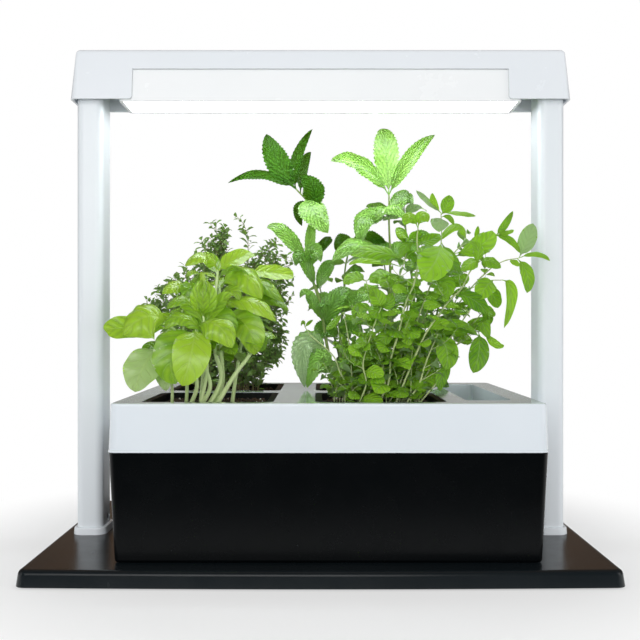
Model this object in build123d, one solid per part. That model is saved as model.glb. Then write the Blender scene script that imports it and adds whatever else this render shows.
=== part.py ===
from build123d import *
from math import atan2, cos, degrees, radians, sin, sqrt, tan
import os

# Indoor herb planter with a light bar.
# Millimetres, +Z up, the front faces -Y, the origin lies on the table under the middle of the plinth.

# Fits and cuts
seat_gap = 0.3              # between pieces that lift, slide or turn against each other
fit_gap = 0.2               # between fixed pieces that plug into each other
overrun = 4.0               # how far a cutting solid runs past the face that it cuts

# Pot holes and rims of the top tray, from which the planter's length and depth follow
pot_hole = 136.0
column_gap = 42.0           # deck between the left and the right pots
row_gap = 26.0              # deck between the front and the back pots
side_rim = 28.0
end_rim = 16.0
well_width = 48.0
well_length = 254.0
well_depth = 40.0
well_gap = 22.0             # deck between the right pots and the well
well_corner = 6.0
fill_hole_length = 60.0
fill_hole_inset = 5.0

# Top tray
tray_height = 49.2
tray_flare = 1.75           # the tray's foot stands this much further out than its deck
tray_wall = 2.5
tray_edge = 2.5
planter_corner = 10.0       # at the seam between tray and reservoir
bead_height = 2.2
bead_stand_out = 0.7
skirt_depth = 7.0           # the tray's locating skirt, inside the reservoir
skirt_overlap = 5.0
skirt_gap = 1.2
skirt_wall = 2.2
recess_depth = 3.0          # the pots' flanges lie in these recesses
ledge_width = 5.0
hole_corner = 9.0

# Reservoir
reservoir_height = 111.2
reservoir_flare = 6.0       # the rim stands this much further out than the floor
reservoir_wall = 2.5
reservoir_floor = 3.0
reservoir_foot_edge = 3.0

# Pots, soil and wicks
pot_flange = 2.2
pot_depth = 100.0
pot_taper = 11.0            # a side at the pot's foot stands this much further in than at its top
pot_wall = 1.8
pot_floor = 2.4
pot_corner = 4.0            # at the pot's foot
pot_gap = 0.6               # round the pot's wall and flange in the tray
drain_diameter = 7.0
drain_pitch = 54.0
wick_width = 20.0
wick_thickness = 2.4
wick_floor_gap = 13.2       # over the reservoir's floor
wick_bury = 34.0            # inside the soil
soil_freeboard = 8.0        # from the pot's top down to the soil

# Plinth
post_gap = 28.0             # between the planter's side and a post
plinth_margin = 20.0        # outside each post
front_step = 28.5           # plinth in front of the planter
back_step = 4.5             # plinth behind the planter
planter_shift = 8.0         # the planter stands this far right of the arch's middle
plinth_height = 16.5
plinth_flare = 2.5          # the bottom edge stands this much further out than the top
plinth_corner = 11.0
plinth_edge = 5.5
plinth_bow = 5.0
plinth_wall = 3.0
rib_thickness = 2.2
rib_pitch = 60.0
foot_diameter = 22.0
foot_thickness = 4.0
foot_stand_out = 1.5
foot_inset_x = 60.0
foot_inset_y = 34.0
foot_pad = 2.0              # the boss over each foot stands this much further out
foot_edge = 0.8
rib_recess = 1.5            # the ribs stop this far above the plinth's bottom edge
bay_margin = 1.5            # free space round what lies among the ribs

# Posts
post_width = 30.0
post_depth = 46.0
post_corner = 8.5
post_wall = 2.2
post_height = 510.0
post_entry = 14.0           # how far a post reaches into the hood
collar_height = 8.0
collar_stand_out = 3.4
collar_flare = 0.8
collar_edge = 1.6
foot_plug_height = 8.5
head_plug_height = 24.0
slot_width = 14.0
slot_height = 9.0
slot_lift = 14.0            # from the plinth's top to the slot's middle
slot_back = 8.0             # behind the post's middle

# Screws
screw_diameter = 4.0
foot_screw_length = 10.5
hood_screw_length = 18.0
head_diameter = 7.2
head_height = 2.6
socket_width = 3.0
socket_depth = 1.4
screw_pitch = 26.0
cap_thickness = 3.0
head_gap = 0.4              # round a screw's head

# Hood
hood_overhang = 4.75        # outside each post
hood_depth = 68.0
hood_height = 58.0
hood_flare = 6.2            # the bottom edge stands this much further out than the top
hood_wall = 2.5
hood_corner = 8.0
hood_edge = 6.0
notch_inset = 15.0          # the notch ends this far inside the lamp's ends
notch_height = 35.0
notch_corner = 3.4
boss_diameter = 11.0
boss_floor = 5.0

# Lamp
lamp_end_gap = 20.75        # from the lamp to each post
lamp_stand_out = 2.0        # below the hood
lamp_gap = 0.5              # between the lamp and the hood's walls
lamp_wall = 2.0
lamp_corner = 4.0
diffuser_thickness = 2.0
diffuser_lip = 1.6
lip_thickness = 1.2
spreader_sheet = 1.5
spreader_depth = 15.0
spreader_channel = 34.0
spreader_lip = 7.0
spreader_margin = 12.0
lamp_screw_length = 10.0
lamp_screw_inset = 49.0     # from the lamp's end
lamp_hole_depth = 9.0
lamp_screw_diameter = 3.0
lamp_head_diameter = 5.6
lamp_head_height = 2.0
lamp_boss_diameter = 8.0
board_width = 12.0
board_thickness = 1.6
board_pitch = 16.0
board_margin = 10.0
chip_size = 3.6
chip_thickness = 1.1
chip_pitch = 30.0
driver_length = 92.0
driver_width = 28.0
driver_height = 9.5
driver_corner = 2.0

# Lead and inlet
lead_diameter = 3.6
lead_passage = 7.0
lead_bend = 9.0
lead_low_bend = 7.0
lead_drop = 9.0             # from the plinth's top down to the lead that runs back to the inlet
inlet_diameter = 7.6
inlet_length = 13.0
inlet_bore = 5.5
inlet_pin = 2.0
inlet_bore_depth = 9.0
inlet_flange = 2.0
inlet_flange_diameter = 10.0

# Rocker switch
switch_length = 21.0
switch_width = 15.0
switch_bezel = 1.2
switch_frame = 1.8
switch_body_depth = 12.0
switch_wall = 1.5
switch_from_middle = 200.0
rocker_rise = 4.0           # from the pivot up to the rocker's ends
rocker_dip = 1.2            # the hollow between its two ends
rocker_skirt = 1.5          # from the pivot down to the bottom of its ends
rocker_depth = 5.0          # from the pivot down to its keel
rocker_end_gap = 0.9
rocker_drop = 3.0           # from the frame's top down to the pivot
rocker_tilt = 7.0           # degrees, each way from level
rocker_pin = 2.0
rocker_pin_reach = 1.0
running_gap = 0.08

# Plants
leaf_thickness = 1.4
plant_gap = 2.0             # between the rooms of two plants, and to the lamp
basil_height = 160.0
basil_stem = 5.0
basil_leaf_length = 58.0
basil_leaf_width = 36.0
oregano_height = 222.0
oregano_stem = 2.8
oregano_leaf_length = 27.0
oregano_leaf_width = 17.0
mint_height = 300.0
mint_stem = 4.2
mint_leaf_length = 50.0
mint_leaf_width = 25.0
thyme_height = 222.0
thyme_stem = 2.4
thyme_leaf_length = 20.0
thyme_leaf_width = 8.0
plant_spread = 249.0        # how far the plants reach to the left and right of the arch's middle
leaning_step = 7.0          # from the back row's middle forward to where the mint may lean over the thyme

# Shapes of stems and leaves
stem_steps = 3
stem_thinning_share = 0.55
leaf_shares = (0.34, 0.7)
leaf_width_shares = (1.0, 0.72)
leaf_arch_share = 0.10
leaf_fold_share = 0.10
leaf_reach_share = 0.92
golden_turn = 137.5
top_pair_share = 0.97
quarter_turns = ((1, 0), (0, 1), (-1, 0), (0, -1))

# Stems: root and tip from the pot's middle as shares of its hole, and height as a share of the plant's
basil_stem_shares = [
    (-0.26, 0.05, -0.66, 0.00, 0.50),
    (-0.20, -0.12, -0.54, -0.30, 0.34),
    (-0.12, 0.10, -0.25, -0.10, 0.64),
    (-0.05, -0.05, -0.14, 0.10, 0.97),
    (0.02, 0.12, 0.22, 0.15, 0.88),
    (0.07, -0.10, 0.34, -0.25, 0.57),
    (-0.15, -0.20, -0.28, -0.45, 0.33),
]
oregano_stem_shares = [
    (0.20, 0.00, 0.48, -0.05, 0.97),
    (0.26, -0.10, 0.70, 0.05, 0.94),
    (0.32, 0.05, 1.05, -0.10, 0.89),
    (0.38, -0.05, 1.22, 0.00, 0.81),
    (0.36, -0.20, 1.20, -0.25, 0.64),
    (0.28, 0.10, 0.83, 0.05, 0.70),
    (0.08, 0.08, 0.24, 0.05, 0.79),
    (0.00, -0.02, -0.02, 0.00, 0.65),
    (-0.10, -0.12, -0.24, -0.10, 0.54),
    (-0.22, 0.02, -0.38, 0.00, 0.38),
    (0.22, -0.28, 0.57, -0.40, 0.52),
    (0.34, -0.30, 0.90, -0.35, 0.45),
    (0.05, -0.30, 0.20, -0.55, 0.36),
]
mint_stem_shares = [
    (0.10, -0.25, 0.16, -0.20, 0.95),
    (-0.25, -0.10, -0.31, 0.10, 0.70),
    (0.00, 0.15, 0.00, 0.20, 0.76),
    (0.25, 0.00, 0.35, 0.00, 0.70),
    (0.35, 0.20, 0.50, 0.30, 0.54),
    (-0.30, 0.20, -0.42, 0.30, 0.42),
]
mint_leaning_stem_shares = [
    (-0.32, -0.28, -0.95, -0.24, 0.95),
    (-0.36, -0.34, -0.72, -0.24, 0.60),
]
thyme_stem_shares = [
    (-0.10, 0.20, -0.16, 0.25, 1.00),
    (0.05, 0.25, 0.12, 0.30, 0.98),
    (0.20, 0.20, 0.36, 0.25, 0.83),
    (-0.30, 0.10, -0.62, 0.15, 0.58),
    (-0.22, 0.30, -0.43, 0.35, 0.80),
    (-0.15, 0.35, -0.28, 0.45, 0.62),
    (0.12, 0.35, 0.20, 0.45, 0.40),
    (0.30, 0.35, 0.40, 0.30, 0.30),
]

deck_length = 2 * side_rim + 2 * pot_hole + column_gap + well_gap + well_width
deck_depth = 2 * end_rim + 2 * pot_hole + row_gap
planter_length = deck_length + 2 * tray_flare
planter_depth = deck_depth + 2 * tray_flare
arch_half = planter_length / 2 + post_gap + post_width
post_x = arch_half - post_width / 2
plinth_width = 2 * (arch_half + plinth_margin)
plinth_depth = planter_depth + front_step + back_step
planter_x = planter_shift
planter_y = (front_step - back_step) / 2

plinth_top = foot_stand_out + plinth_height
reservoir_bottom = plinth_top + seat_gap
seam = reservoir_bottom + reservoir_height
tray_bottom = seam + seat_gap
deck = tray_bottom + tray_height
post_top = plinth_top + post_height
hood_bottom = post_top - post_entry
hood_top = hood_bottom + hood_height
hood_lean = degrees(atan2(hood_flare, hood_height))
roof = hood_top - hood_wall
lamp_bottom = hood_bottom - lamp_stand_out
lamp_height = notch_height + lamp_stand_out
lamp_top = lamp_bottom + lamp_height
lamp_depth = hood_depth - 2 * hood_wall - 2 * lamp_gap
hood_length = 2 * (post_x + post_width / 2 + hood_overhang)
lamp_length = 2 * (post_x - post_width / 2 - lamp_end_gap)
lamp_screw_pitch = lamp_length - 2 * lamp_screw_inset
notch_length = lamp_length - 2 * notch_inset
lamp_narrowing = lamp_height * tan(radians(hood_lean))
spreader_length = lamp_length - 2 * (lamp_wall + lamp_narrowing + spreader_margin)

front_row = planter_y - row_gap / 2 - pot_hole / 2
back_row = planter_y + row_gap / 2 + pot_hole / 2
left_column = planter_x - deck_length / 2 + side_rim + pot_hole / 2
right_column = left_column + pot_hole + column_gap
well_x = right_column + pot_hole / 2 + well_gap + well_width / 2

ledge_opening = pot_hole - 2 * ledge_width
ledge_top = deck - recess_depth
flange_bottom = ledge_top + seat_gap
pot_top = flange_bottom + pot_flange
pot_bottom = pot_top - pot_depth
wick_bottom = reservoir_bottom + reservoir_floor + wick_floor_gap
pot_width = ledge_opening - 2 * pot_gap
soil_top = pot_top - soil_freeboard

# Each plant keeps to its own room, so that a pot can be lifted past its neighbours and the lamp
middle_x = (left_column + right_column) / 2
lamp_side = hood_depth / 2 + plant_gap
plant_front = -plinth_depth / 2 + front_step / 2
plant_back = plinth_depth / 2
leaning_side = back_row - leaning_step


def block(length, depth, corner, height, lean=0.0):
    """A rounded rectangle raised from Z = 0. Its walls lean inwards by lean degrees."""
    outline = RectangleRounded(length, depth, corner)
    return extrude(outline, amount=height, taper=lean)


def inner_corner(corner, wall):
    return max(corner - wall, seat_gap)


def lean_of(flare, height):
    return degrees(atan2(flare, height))


def rod(diameter, height):
    """A round bar standing on Z = 0."""
    return Cylinder(diameter / 2, height, align=(Align.CENTER, Align.CENTER, Align.MIN))


def standing_box(length, depth, height):
    return Box(length, depth, height, align=(Align.CENTER, Align.CENTER, Align.MIN))


def at(places, piece):
    """Copies of one piece, each moved to its place."""
    return [Pos(*place) * piece for place in places]


def save(node, shape):
    shape.label = node
    export_step(shape, f"parts/{node}.step")


def save_group(node, pieces):
    save(node, Compound(children=pieces))


# Places that pieces share
screw_places = [
    (side * post_x, end * screw_pitch / 2)
    for side in (-1, 1)
    for end in (-1, 1)
]
foot_places = [
    (x * (plinth_width / 2 - foot_inset_x), y * (plinth_depth / 2 - foot_inset_y))
    for x in (-1, 0, 1)
    for y in (-1, 1)
]
lamp_roof = lamp_top - lamp_wall
spreader_top = lamp_roof - spreader_sheet / 2
web_level = spreader_top - spreader_depth
web_top = web_level + spreader_sheet / 2
web_bottom = web_level - spreader_sheet / 2
lamp_screw_y = spreader_channel / 2 + spreader_lip / 2 + spreader_sheet / 4
lamp_screw_places = [
    (side * lamp_screw_pitch / 2, end * lamp_screw_y)
    for side in (-1, 1)
    for end in (-1, 1)
]
lead_level = web_top + driver_height / 2
lead_low = plinth_top - lead_drop
screw_hole = screw_diameter + fit_gap
head_hole = head_diameter + 2 * head_gap


# Plinth

def plinth_outline(inset):
    """The plan of the plinth, its front edge bowed forwards, moved inwards by inset."""
    side = plinth_width / 2 - inset
    back = plinth_depth / 2 - inset
    corner = -plinth_depth / 2 + plinth_bow + inset
    outline = [
        ThreePointArc((-side, corner), (0, corner - plinth_bow), (side, corner)),
        Line((side, corner), (side, back)),
        Line((side, back), (-side, back)),
        Line((-side, back), (-side, corner)),
    ]
    plan = make_face(outline)
    return fillet(plan.vertices(), plinth_corner - inset)


def plinth_ribs(cavity):
    """The crossed ribs under the plinth's top, open round the feet, the posts and the lead."""
    columns = round(plinth_width / 2 / rib_pitch)
    rows = round(plinth_depth / 2 / rib_pitch)
    height = plinth_height - plinth_wall - rib_recess
    lengthwise = standing_box(plinth_width, rib_thickness, height)
    crosswise = standing_box(rib_thickness, plinth_depth, height)
    ribs = at([((n + 0.5) * rib_pitch, 0, rib_recess) for n in range(-columns, columns)], crosswise)
    ribs += at([(0, (n + 0.5) * rib_pitch, rib_recess) for n in range(-rows, rows)], lengthwise)
    foot_bay = rod(foot_diameter + 2 * foot_pad, plinth_height)
    post_bay = standing_box(post_width, post_depth, plinth_height)
    lead_bay = standing_box(inlet_flange_diameter + 2 * bay_margin, plinth_depth / 2, plinth_height)
    bays = at(foot_places, foot_bay)
    bays += at([(-post_x, 0), (post_x, 0)], post_bay)
    bays.append(Pos(-post_x, plinth_depth / 4) * lead_bay)
    free = cavity - bays
    return [rib & free for rib in ribs]


def make_plinth():
    lean = lean_of(plinth_flare, plinth_height)
    body = extrude(plinth_outline(0), amount=plinth_height, taper=lean)
    body = fillet(body.edges().group_by(Axis.Z)[-1], plinth_edge)
    cavity = extrude(plinth_outline(plinth_wall), amount=plinth_height - plinth_wall, taper=lean)
    foot_top = foot_thickness - foot_stand_out
    pad = rod(foot_diameter + 2 * foot_pad, plinth_height - plinth_wall - foot_top)
    pads = [Pos(x, y, foot_top) * pad for x, y in foot_places]
    body = body - cavity + plinth_ribs(cavity) + pads
    body = Pos(0, 0, foot_stand_out) * body
    body -= [Pos(x, y, 0) * rod(screw_hole, plinth_top + overrun) for x, y in screw_places]
    body -= Pos(-post_x, 0, 0) * rod(lead_passage, plinth_top + overrun)
    inlet_hole = rod(inlet_diameter + 2 * fit_gap, plinth_wall + plinth_flare + 2 * overrun)
    body -= inlet_plane * Pos(0, 0, -plinth_wall - overrun) * inlet_hole
    return body


inlet_plane = Plane(
    origin=(-post_x, plinth_depth / 2 - plinth_flare, lead_low),
    x_dir=(1, 0, 0),
    z_dir=(0, 1, 0),
)


def make_feet():
    foot = rod(foot_diameter, foot_thickness)
    foot = chamfer(foot.edges().group_by(Axis.Z)[0], foot_edge)
    return at(foot_places, foot)


def make_inlet():
    """A round socket with its centre pin, its face inside the plinth's back wall."""
    barrel = Pos(0, 0, -inlet_length) * rod(inlet_diameter, inlet_length)
    bore = Pos(0, 0, -inlet_bore_depth) * rod(inlet_bore, inlet_bore_depth + overrun)
    pin = Pos(0, 0, -inlet_length) * rod(inlet_pin, inlet_length)
    flange = rod(inlet_flange_diameter, inlet_flange)
    flange = Pos(0, 0, -plinth_wall - inlet_flange) * flange
    return inlet_plane * (barrel + flange - bore + pin)


# Posts and what closes them

def post_tube():
    outside = block(post_width, post_depth, post_corner, post_height)
    inside = block(
        post_width - 2 * post_wall,
        post_depth - 2 * post_wall,
        post_corner - post_wall,
        post_height + 2 * overrun,
    )
    return outside - Pos(0, 0, -overrun) * inside


def make_post(side):
    post = Pos(side * post_x, 0, plinth_top) * post_tube()
    if side < 0:
        slot = extrude(SlotOverall(slot_width, slot_height), amount=post_wall + 2 * overrun)
        wall = Plane(
            origin=(-post_x + post_width / 2 - post_wall - overrun, slot_back, plinth_top + slot_lift),
            x_dir=(0, 1, 0),
            z_dir=(1, 0, 0),
        )
        post -= wall * slot
    return post


def make_collar(side):
    """A flared ring round a post's foot."""
    foot = 2 * (collar_stand_out + collar_flare)
    lean = lean_of(collar_flare, collar_height)
    ring = block(post_width + foot, post_depth + foot, post_corner + foot / 2, collar_height, lean)
    ring = fillet(ring.edges().group_by(Axis.Z)[-1], collar_edge)
    hole = block(
        post_width + 2 * fit_gap,
        post_depth + 2 * fit_gap,
        post_corner + fit_gap,
        collar_height + 2 * overrun,
    )
    return Pos(side * post_x, 0, plinth_top) * (ring - Pos(0, 0, -overrun) * hole)


def make_plugs(height, bottom):
    """Blocks inside the posts, drilled for two screws and the lead."""
    plug = block(
        post_width - 2 * post_wall - 2 * fit_gap,
        post_depth - 2 * post_wall - 2 * fit_gap,
        post_corner - post_wall - fit_gap,
        height,
    )
    holes = [Pos(0, end * screw_pitch / 2) * rod(screw_hole, height) for end in (-1, 1)]
    plug = plug - holes - rod(lead_passage, height)
    return at([(side * post_x, 0, bottom) for side in (-1, 1)], plug)


def screw(diameter, length, head_width, height, turned=False):
    """A pan-head screw: its shank rises from the head, whose top is at Z = 0."""
    head = fillet(rod(head_width, height).edges().group_by(Axis.Z)[0], height / 3)
    socket = extrude(RegularPolygon(socket_width / 2, 6), amount=socket_depth)
    whole = head - socket + Pos(0, 0, height) * rod(diameter, length)
    return Rot(180, 0, 0) * whole if turned else whole


def make_foot_screws():
    underside = plinth_top - plinth_wall - head_height
    piece = screw(screw_diameter, foot_screw_length, head_diameter, head_height)
    return [Pos(x, y, underside) * piece for x, y in screw_places]


def make_hood_screws():
    level = post_top + boss_floor + head_height
    piece = screw(screw_diameter, hood_screw_length, head_diameter, head_height, turned=True)
    return [Pos(x, y, level) * piece for x, y in screw_places]


def make_caps():
    cap = rod(head_hole - 2 * fit_gap, cap_thickness)
    return [Pos(x, y, hood_top - cap_thickness) * cap for x, y in screw_places]


# Hood

def make_hood():
    shell = block(
        hood_length, hood_depth, hood_corner, hood_height, hood_lean
    )
    shell = fillet(shell.edges().group_by(Axis.Z)[-1], hood_edge)
    inside = block(
        hood_length - 2 * hood_wall,
        hood_depth - 2 * hood_wall,
        hood_corner - hood_wall,
        hood_height - hood_wall,
        hood_lean,
    )
    shell = Pos(0, 0, hood_bottom) * (shell - inside)
    notch = Pos(0, -hood_depth / 2, hood_bottom) * standing_box(notch_length, hood_depth, notch_height)
    shell -= notch
    ends = shell.edges().filter_by(Axis.Y).group_by(Axis.Z)[0]
    notch_reach = notch_length / 2 + notch_corner
    shell = fillet([e for e in ends if abs(e.center().X) < notch_reach], notch_corner)
    boss = rod(boss_diameter, roof - post_top)
    shell += [Pos(x, y, post_top) * boss for x, y in screw_places]
    lamp_boss = rod(lamp_boss_diameter, roof - lamp_top)
    shell += [Pos(x, y, lamp_top) * lamp_boss for x, y in lamp_screw_places]
    shell -= [Pos(x, y, post_top) * rod(screw_hole, boss_floor) for x, y in screw_places]
    sink = rod(head_hole, hood_top - post_top)
    shell -= [Pos(x, y, post_top + boss_floor) * sink for x, y in screw_places]
    lamp_hole = rod(lamp_screw_diameter + fit_gap, lamp_hole_depth)
    shell -= [Pos(x, y, lamp_top) * lamp_hole for x, y in lamp_screw_places]
    window = standing_box(switch_cut_length, switch_cut_width, hood_wall + 2 * overrun)
    return shell - Pos(switch_from_middle, 0, roof - overrun) * window


# Lamp

def lamp_block(inset, bottom, height):
    """The lamp's outline moved inwards by inset, its walls leaning as the hood's do."""
    corner = max(lamp_corner - inset, fit_gap)
    outline = block(lamp_length - 2 * inset, lamp_depth - 2 * inset, corner, height, hood_lean)
    return Pos(0, 0, bottom) * outline


def make_lamp_housing():
    body = lamp_block(0, lamp_bottom, lamp_height)
    body -= lamp_block(lamp_wall, lamp_bottom + lip_thickness, lamp_roof - lamp_bottom - lip_thickness)
    body -= lamp_block(lamp_wall + diffuser_lip, lamp_bottom - overrun, lip_thickness + 2 * overrun)
    hole = rod(lamp_screw_diameter + fit_gap, lamp_wall + overrun)
    body -= [Pos(x, y, lamp_roof - overrun / 2) * hole for x, y in lamp_screw_places]
    passage = Rot(0, -90, 0) * rod(lead_diameter + 2 * fit_gap, lamp_length / 2 + overrun)
    return body - Pos(0, 0, lead_level) * passage


def make_diffuser():
    return lamp_block(lamp_wall + 2 * fit_gap, lamp_bottom + lip_thickness, diffuser_thickness)


def make_spreader():
    """A folded aluminium channel, hung from the lamp's roof by its two lips."""
    half = spreader_channel / 2
    fold = Polyline(
        (-half - spreader_lip, spreader_top),
        (-half, spreader_top),
        (-half, web_level),
        (half, web_level),
        (half, spreader_top),
        (half + spreader_lip, spreader_top),
    )
    section = trace(fold, line_width=spreader_sheet)
    sheet = extrude(Plane.YZ * section, amount=spreader_length / 2, both=True)
    hole = rod(lamp_screw_diameter + fit_gap, spreader_sheet + 2 * overrun)
    return sheet - [Pos(x, y, spreader_top - overrun) * hole for x, y in lamp_screw_places]


def make_boards():
    board = Box(spreader_length - 2 * board_margin, board_width, board_thickness)
    level = web_bottom - board_thickness / 2
    return at([(0, side * board_pitch / 2, level) for side in (-1, 1)], board)


def make_chips():
    chip = Box(chip_size, chip_size, chip_thickness)
    level = web_bottom - board_thickness - chip_thickness / 2
    count = int((spreader_length - 2 * board_margin) // chip_pitch)
    first = -(count - 1) / 2 * chip_pitch
    places = [
        (first + n * chip_pitch, side * board_pitch / 2, level)
        for n in range(count)
        for side in (-1, 1)
    ]
    return at(places, chip)


def make_lamp_screws():
    piece = screw(lamp_screw_diameter, lamp_screw_length, lamp_head_diameter, lamp_head_height)
    level = lamp_roof - spreader_sheet - lamp_head_height
    return [Pos(x, y, level) * piece for x, y in lamp_screw_places]


def make_driver():
    case = block(driver_length, driver_width, driver_corner, driver_height)
    return Pos(0, 0, web_top) * case


def make_lead():
    """The lead, along the lamp, over the left post, down inside it and back to the inlet."""
    back = plinth_depth / 2 - plinth_flare - inlet_length
    route = FilletPolyline(
        (-driver_length / 2, 0, lead_level),
        (-post_x, 0, lead_level),
        (-post_x, 0, lead_low),
        (-post_x, back, lead_low),
        radius=[lead_bend, lead_low_bend],
    )
    start = Plane(origin=route @ 0, z_dir=route % 0)
    return sweep(start * Circle(lead_diameter / 2), path=route)


# Rocker switch

switch_cut_length = switch_length - 2 * switch_frame
switch_cut_width = switch_width - 2 * switch_frame
well_of_switch = switch_cut_width - 2 * fit_gap - 2 * switch_wall
slot_of_switch = switch_cut_length - 2 * fit_gap - 2 * switch_wall
rocker_pivot = hood_top + switch_bezel - rocker_drop


def make_switch_frame():
    top = block(switch_length, switch_width, switch_frame, switch_bezel)
    body = standing_box(switch_cut_length - 2 * fit_gap, switch_cut_width - 2 * fit_gap, switch_body_depth)
    body = Pos(0, 0, hood_top - switch_body_depth) * body
    cavity = standing_box(slot_of_switch, well_of_switch, switch_body_depth + switch_bezel)
    frame = Pos(0, 0, hood_top) * top + body
    frame -= Pos(0, 0, hood_top - switch_body_depth + switch_wall) * cavity
    pin_hole = Rot(90, 0, 0) * Cylinder(rocker_pin / 2 + running_gap, switch_cut_width)
    frame -= Pos(0, 0, rocker_pivot) * pin_hole
    return Pos(switch_from_middle, 0, 0) * frame


def make_rocker():
    """The rocker on its pin, pressed down at its right end."""
    half = slot_of_switch / 2 - rocker_end_gap
    profile = Polyline(
        (-half, rocker_rise),
        (0, rocker_rise - rocker_dip),
        (half, rocker_rise),
        (half, -rocker_skirt),
        (0, -rocker_depth),
        (-half, -rocker_skirt),
        close=True,
    )
    width = well_of_switch - 2 * seat_gap
    key = extrude(Plane.XZ * make_face(profile), amount=width / 2, both=True)
    key += Rot(90, 0, 0) * Cylinder(rocker_pin / 2, well_of_switch + 2 * rocker_pin_reach)
    return Pos(switch_from_middle, 0, rocker_pivot) * Rot(0, rocker_tilt, 0) * key


# Reservoir and tray

def make_reservoir():
    lean = -lean_of(reservoir_flare, reservoir_height)
    length = planter_length - 2 * reservoir_flare
    depth = planter_depth - 2 * reservoir_flare
    corner = inner_corner(planter_corner, reservoir_flare)
    tub = block(length, depth, corner, reservoir_height, lean)
    tub = fillet(tub.edges().group_by(Axis.Z)[0], reservoir_foot_edge)
    inside = block(
        length - 2 * reservoir_wall,
        depth - 2 * reservoir_wall,
        inner_corner(corner, reservoir_wall),
        reservoir_height,
        lean,
    )
    return Pos(planter_x, planter_y, reservoir_bottom) * (tub - Pos(0, 0, reservoir_floor) * inside)


pot_places = {
    "front_left": (left_column, front_row),
    "back_left": (left_column, back_row),
    "front_right": (right_column, front_row),
    "back_right": (right_column, back_row),
}


def tray_shell():
    """The tray's outer walls and deck, with the bead round its foot and the locating skirt."""
    lean = lean_of(tray_flare, tray_height)
    body = block(planter_length, planter_depth, planter_corner, tray_height, lean)
    body = fillet(body.edges().group_by(Axis.Z)[-1], tray_edge)
    bead = block(
        planter_length + 2 * bead_stand_out,
        planter_depth + 2 * bead_stand_out,
        planter_corner + bead_stand_out,
        bead_height,
    )
    bead = fillet(bead.edges().group_by(Axis.Z)[-1], bead_stand_out)
    body += bead
    body -= block(
        planter_length - 2 * tray_wall,
        planter_depth - 2 * tray_wall,
        planter_corner - tray_wall,
        tray_height - tray_wall,
        lean,
    )
    inset = reservoir_wall + skirt_gap
    low = block(planter_length - 2 * inset, planter_depth - 2 * inset, planter_corner - inset, skirt_depth)
    high = block(
        planter_length - tray_wall, planter_depth - tray_wall, planter_corner - tray_wall / 2, skirt_overlap
    )
    inset += skirt_wall
    middle = block(
        planter_length - 2 * inset,
        planter_depth - 2 * inset,
        planter_corner - inset,
        skirt_depth + skirt_overlap,
    )
    skirt = Pos(0, 0, -skirt_depth) * low + high - Pos(0, 0, -skirt_depth) * middle
    return Pos(planter_x, planter_y, tray_bottom) * (body + skirt)


def make_tray():
    tray = tray_shell()
    ledge_bottom = ledge_top - tray_wall
    seat = block(
        pot_hole + 2 * tray_wall, pot_hole + 2 * tray_wall, hole_corner + tray_wall, recess_depth
    )
    recess = block(pot_hole, pot_hole, hole_corner, recess_depth + overrun)
    opening = block(ledge_opening, ledge_opening, inner_corner(hole_corner, ledge_width), tray_height)
    tray += [Pos(x, y, ledge_bottom) * seat for x, y in pot_places.values()]
    tray -= [Pos(x, y, ledge_top) * recess for x, y in pot_places.values()]
    tray -= [Pos(x, y, ledge_bottom - overrun) * opening for x, y in pot_places.values()]
    well_bottom = deck - well_depth
    walls = block(
        well_width + 2 * tray_wall,
        well_length + 2 * tray_wall,
        well_corner + tray_wall,
        well_depth,
    )
    hollow = block(well_width, well_length, well_corner, well_depth + overrun)
    tray += Pos(well_x, planter_y, well_bottom - tray_wall) * walls
    tray -= Pos(well_x, planter_y, well_bottom) * hollow
    fill_width = well_width - 2 * fill_hole_inset
    fill_hole = block(fill_width, fill_hole_length, well_corner, tray_wall + 2 * overrun)
    fill_y = planter_y + well_length / 2 - fill_hole_inset - fill_hole_length / 2
    return tray - Pos(well_x, fill_y, well_bottom - tray_wall - overrun) * fill_hole


# Pots

pot_lean = -lean_of(pot_taper, flange_bottom - pot_bottom)
pot_foot_width = pot_width - 2 * pot_taper
soil_bottom = pot_bottom + pot_floor


def make_pot():
    wall = block(pot_foot_width, pot_foot_width, pot_corner, flange_bottom - pot_bottom, pot_lean)
    flange_width = pot_hole - 2 * pot_gap
    flange = block(flange_width, flange_width, hole_corner - pot_gap, pot_flange)
    inner_width = pot_foot_width - 2 * pot_wall
    inner = block(inner_width, inner_width, inner_corner(pot_corner, pot_wall), pot_depth, pot_lean)
    pot = Pos(0, 0, pot_bottom) * wall + Pos(0, 0, flange_bottom) * flange
    pot -= Pos(0, 0, soil_bottom) * inner
    drain = rod(drain_diameter, pot_floor + 2 * overrun)
    reach = drain_pitch / 2
    corners = [(x * reach, y * reach, pot_bottom - overrun) for x in (-1, 1) for y in (-1, 1)]
    pot -= at(corners, drain)
    slot_depth = pot_floor + 2 * overrun
    wick_slot = standing_box(wick_width + 2 * fit_gap, wick_thickness + 2 * fit_gap, slot_depth)
    return pot - Pos(0, 0, pot_bottom - overrun) * wick_slot


def make_soil():
    width = pot_foot_width - 2 * pot_wall - 2 * fit_gap
    corner = inner_corner(pot_corner, pot_wall + fit_gap)
    soil = block(width, width, corner, soil_top - soil_bottom, pot_lean)
    wick_slot = standing_box(
        wick_width + 2 * fit_gap, wick_thickness + 2 * fit_gap, wick_bury + fit_gap
    )
    return Pos(0, 0, soil_bottom) * (soil - wick_slot)


def make_wick():
    strip = standing_box(wick_width, wick_thickness, soil_bottom + wick_bury - wick_bottom)
    return Pos(0, 0, wick_bottom) * strip


# Plants: each stem carries pairs of leaves, every pair turned a quarter from the one below it

def solid_from(points, faces):
    """A closed solid of flat three-cornered faces."""
    made = [Face(Wire.make_polygon([points[n] for n in face], close=True)) for face in faces]
    return Solid(Shell(made))


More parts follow.
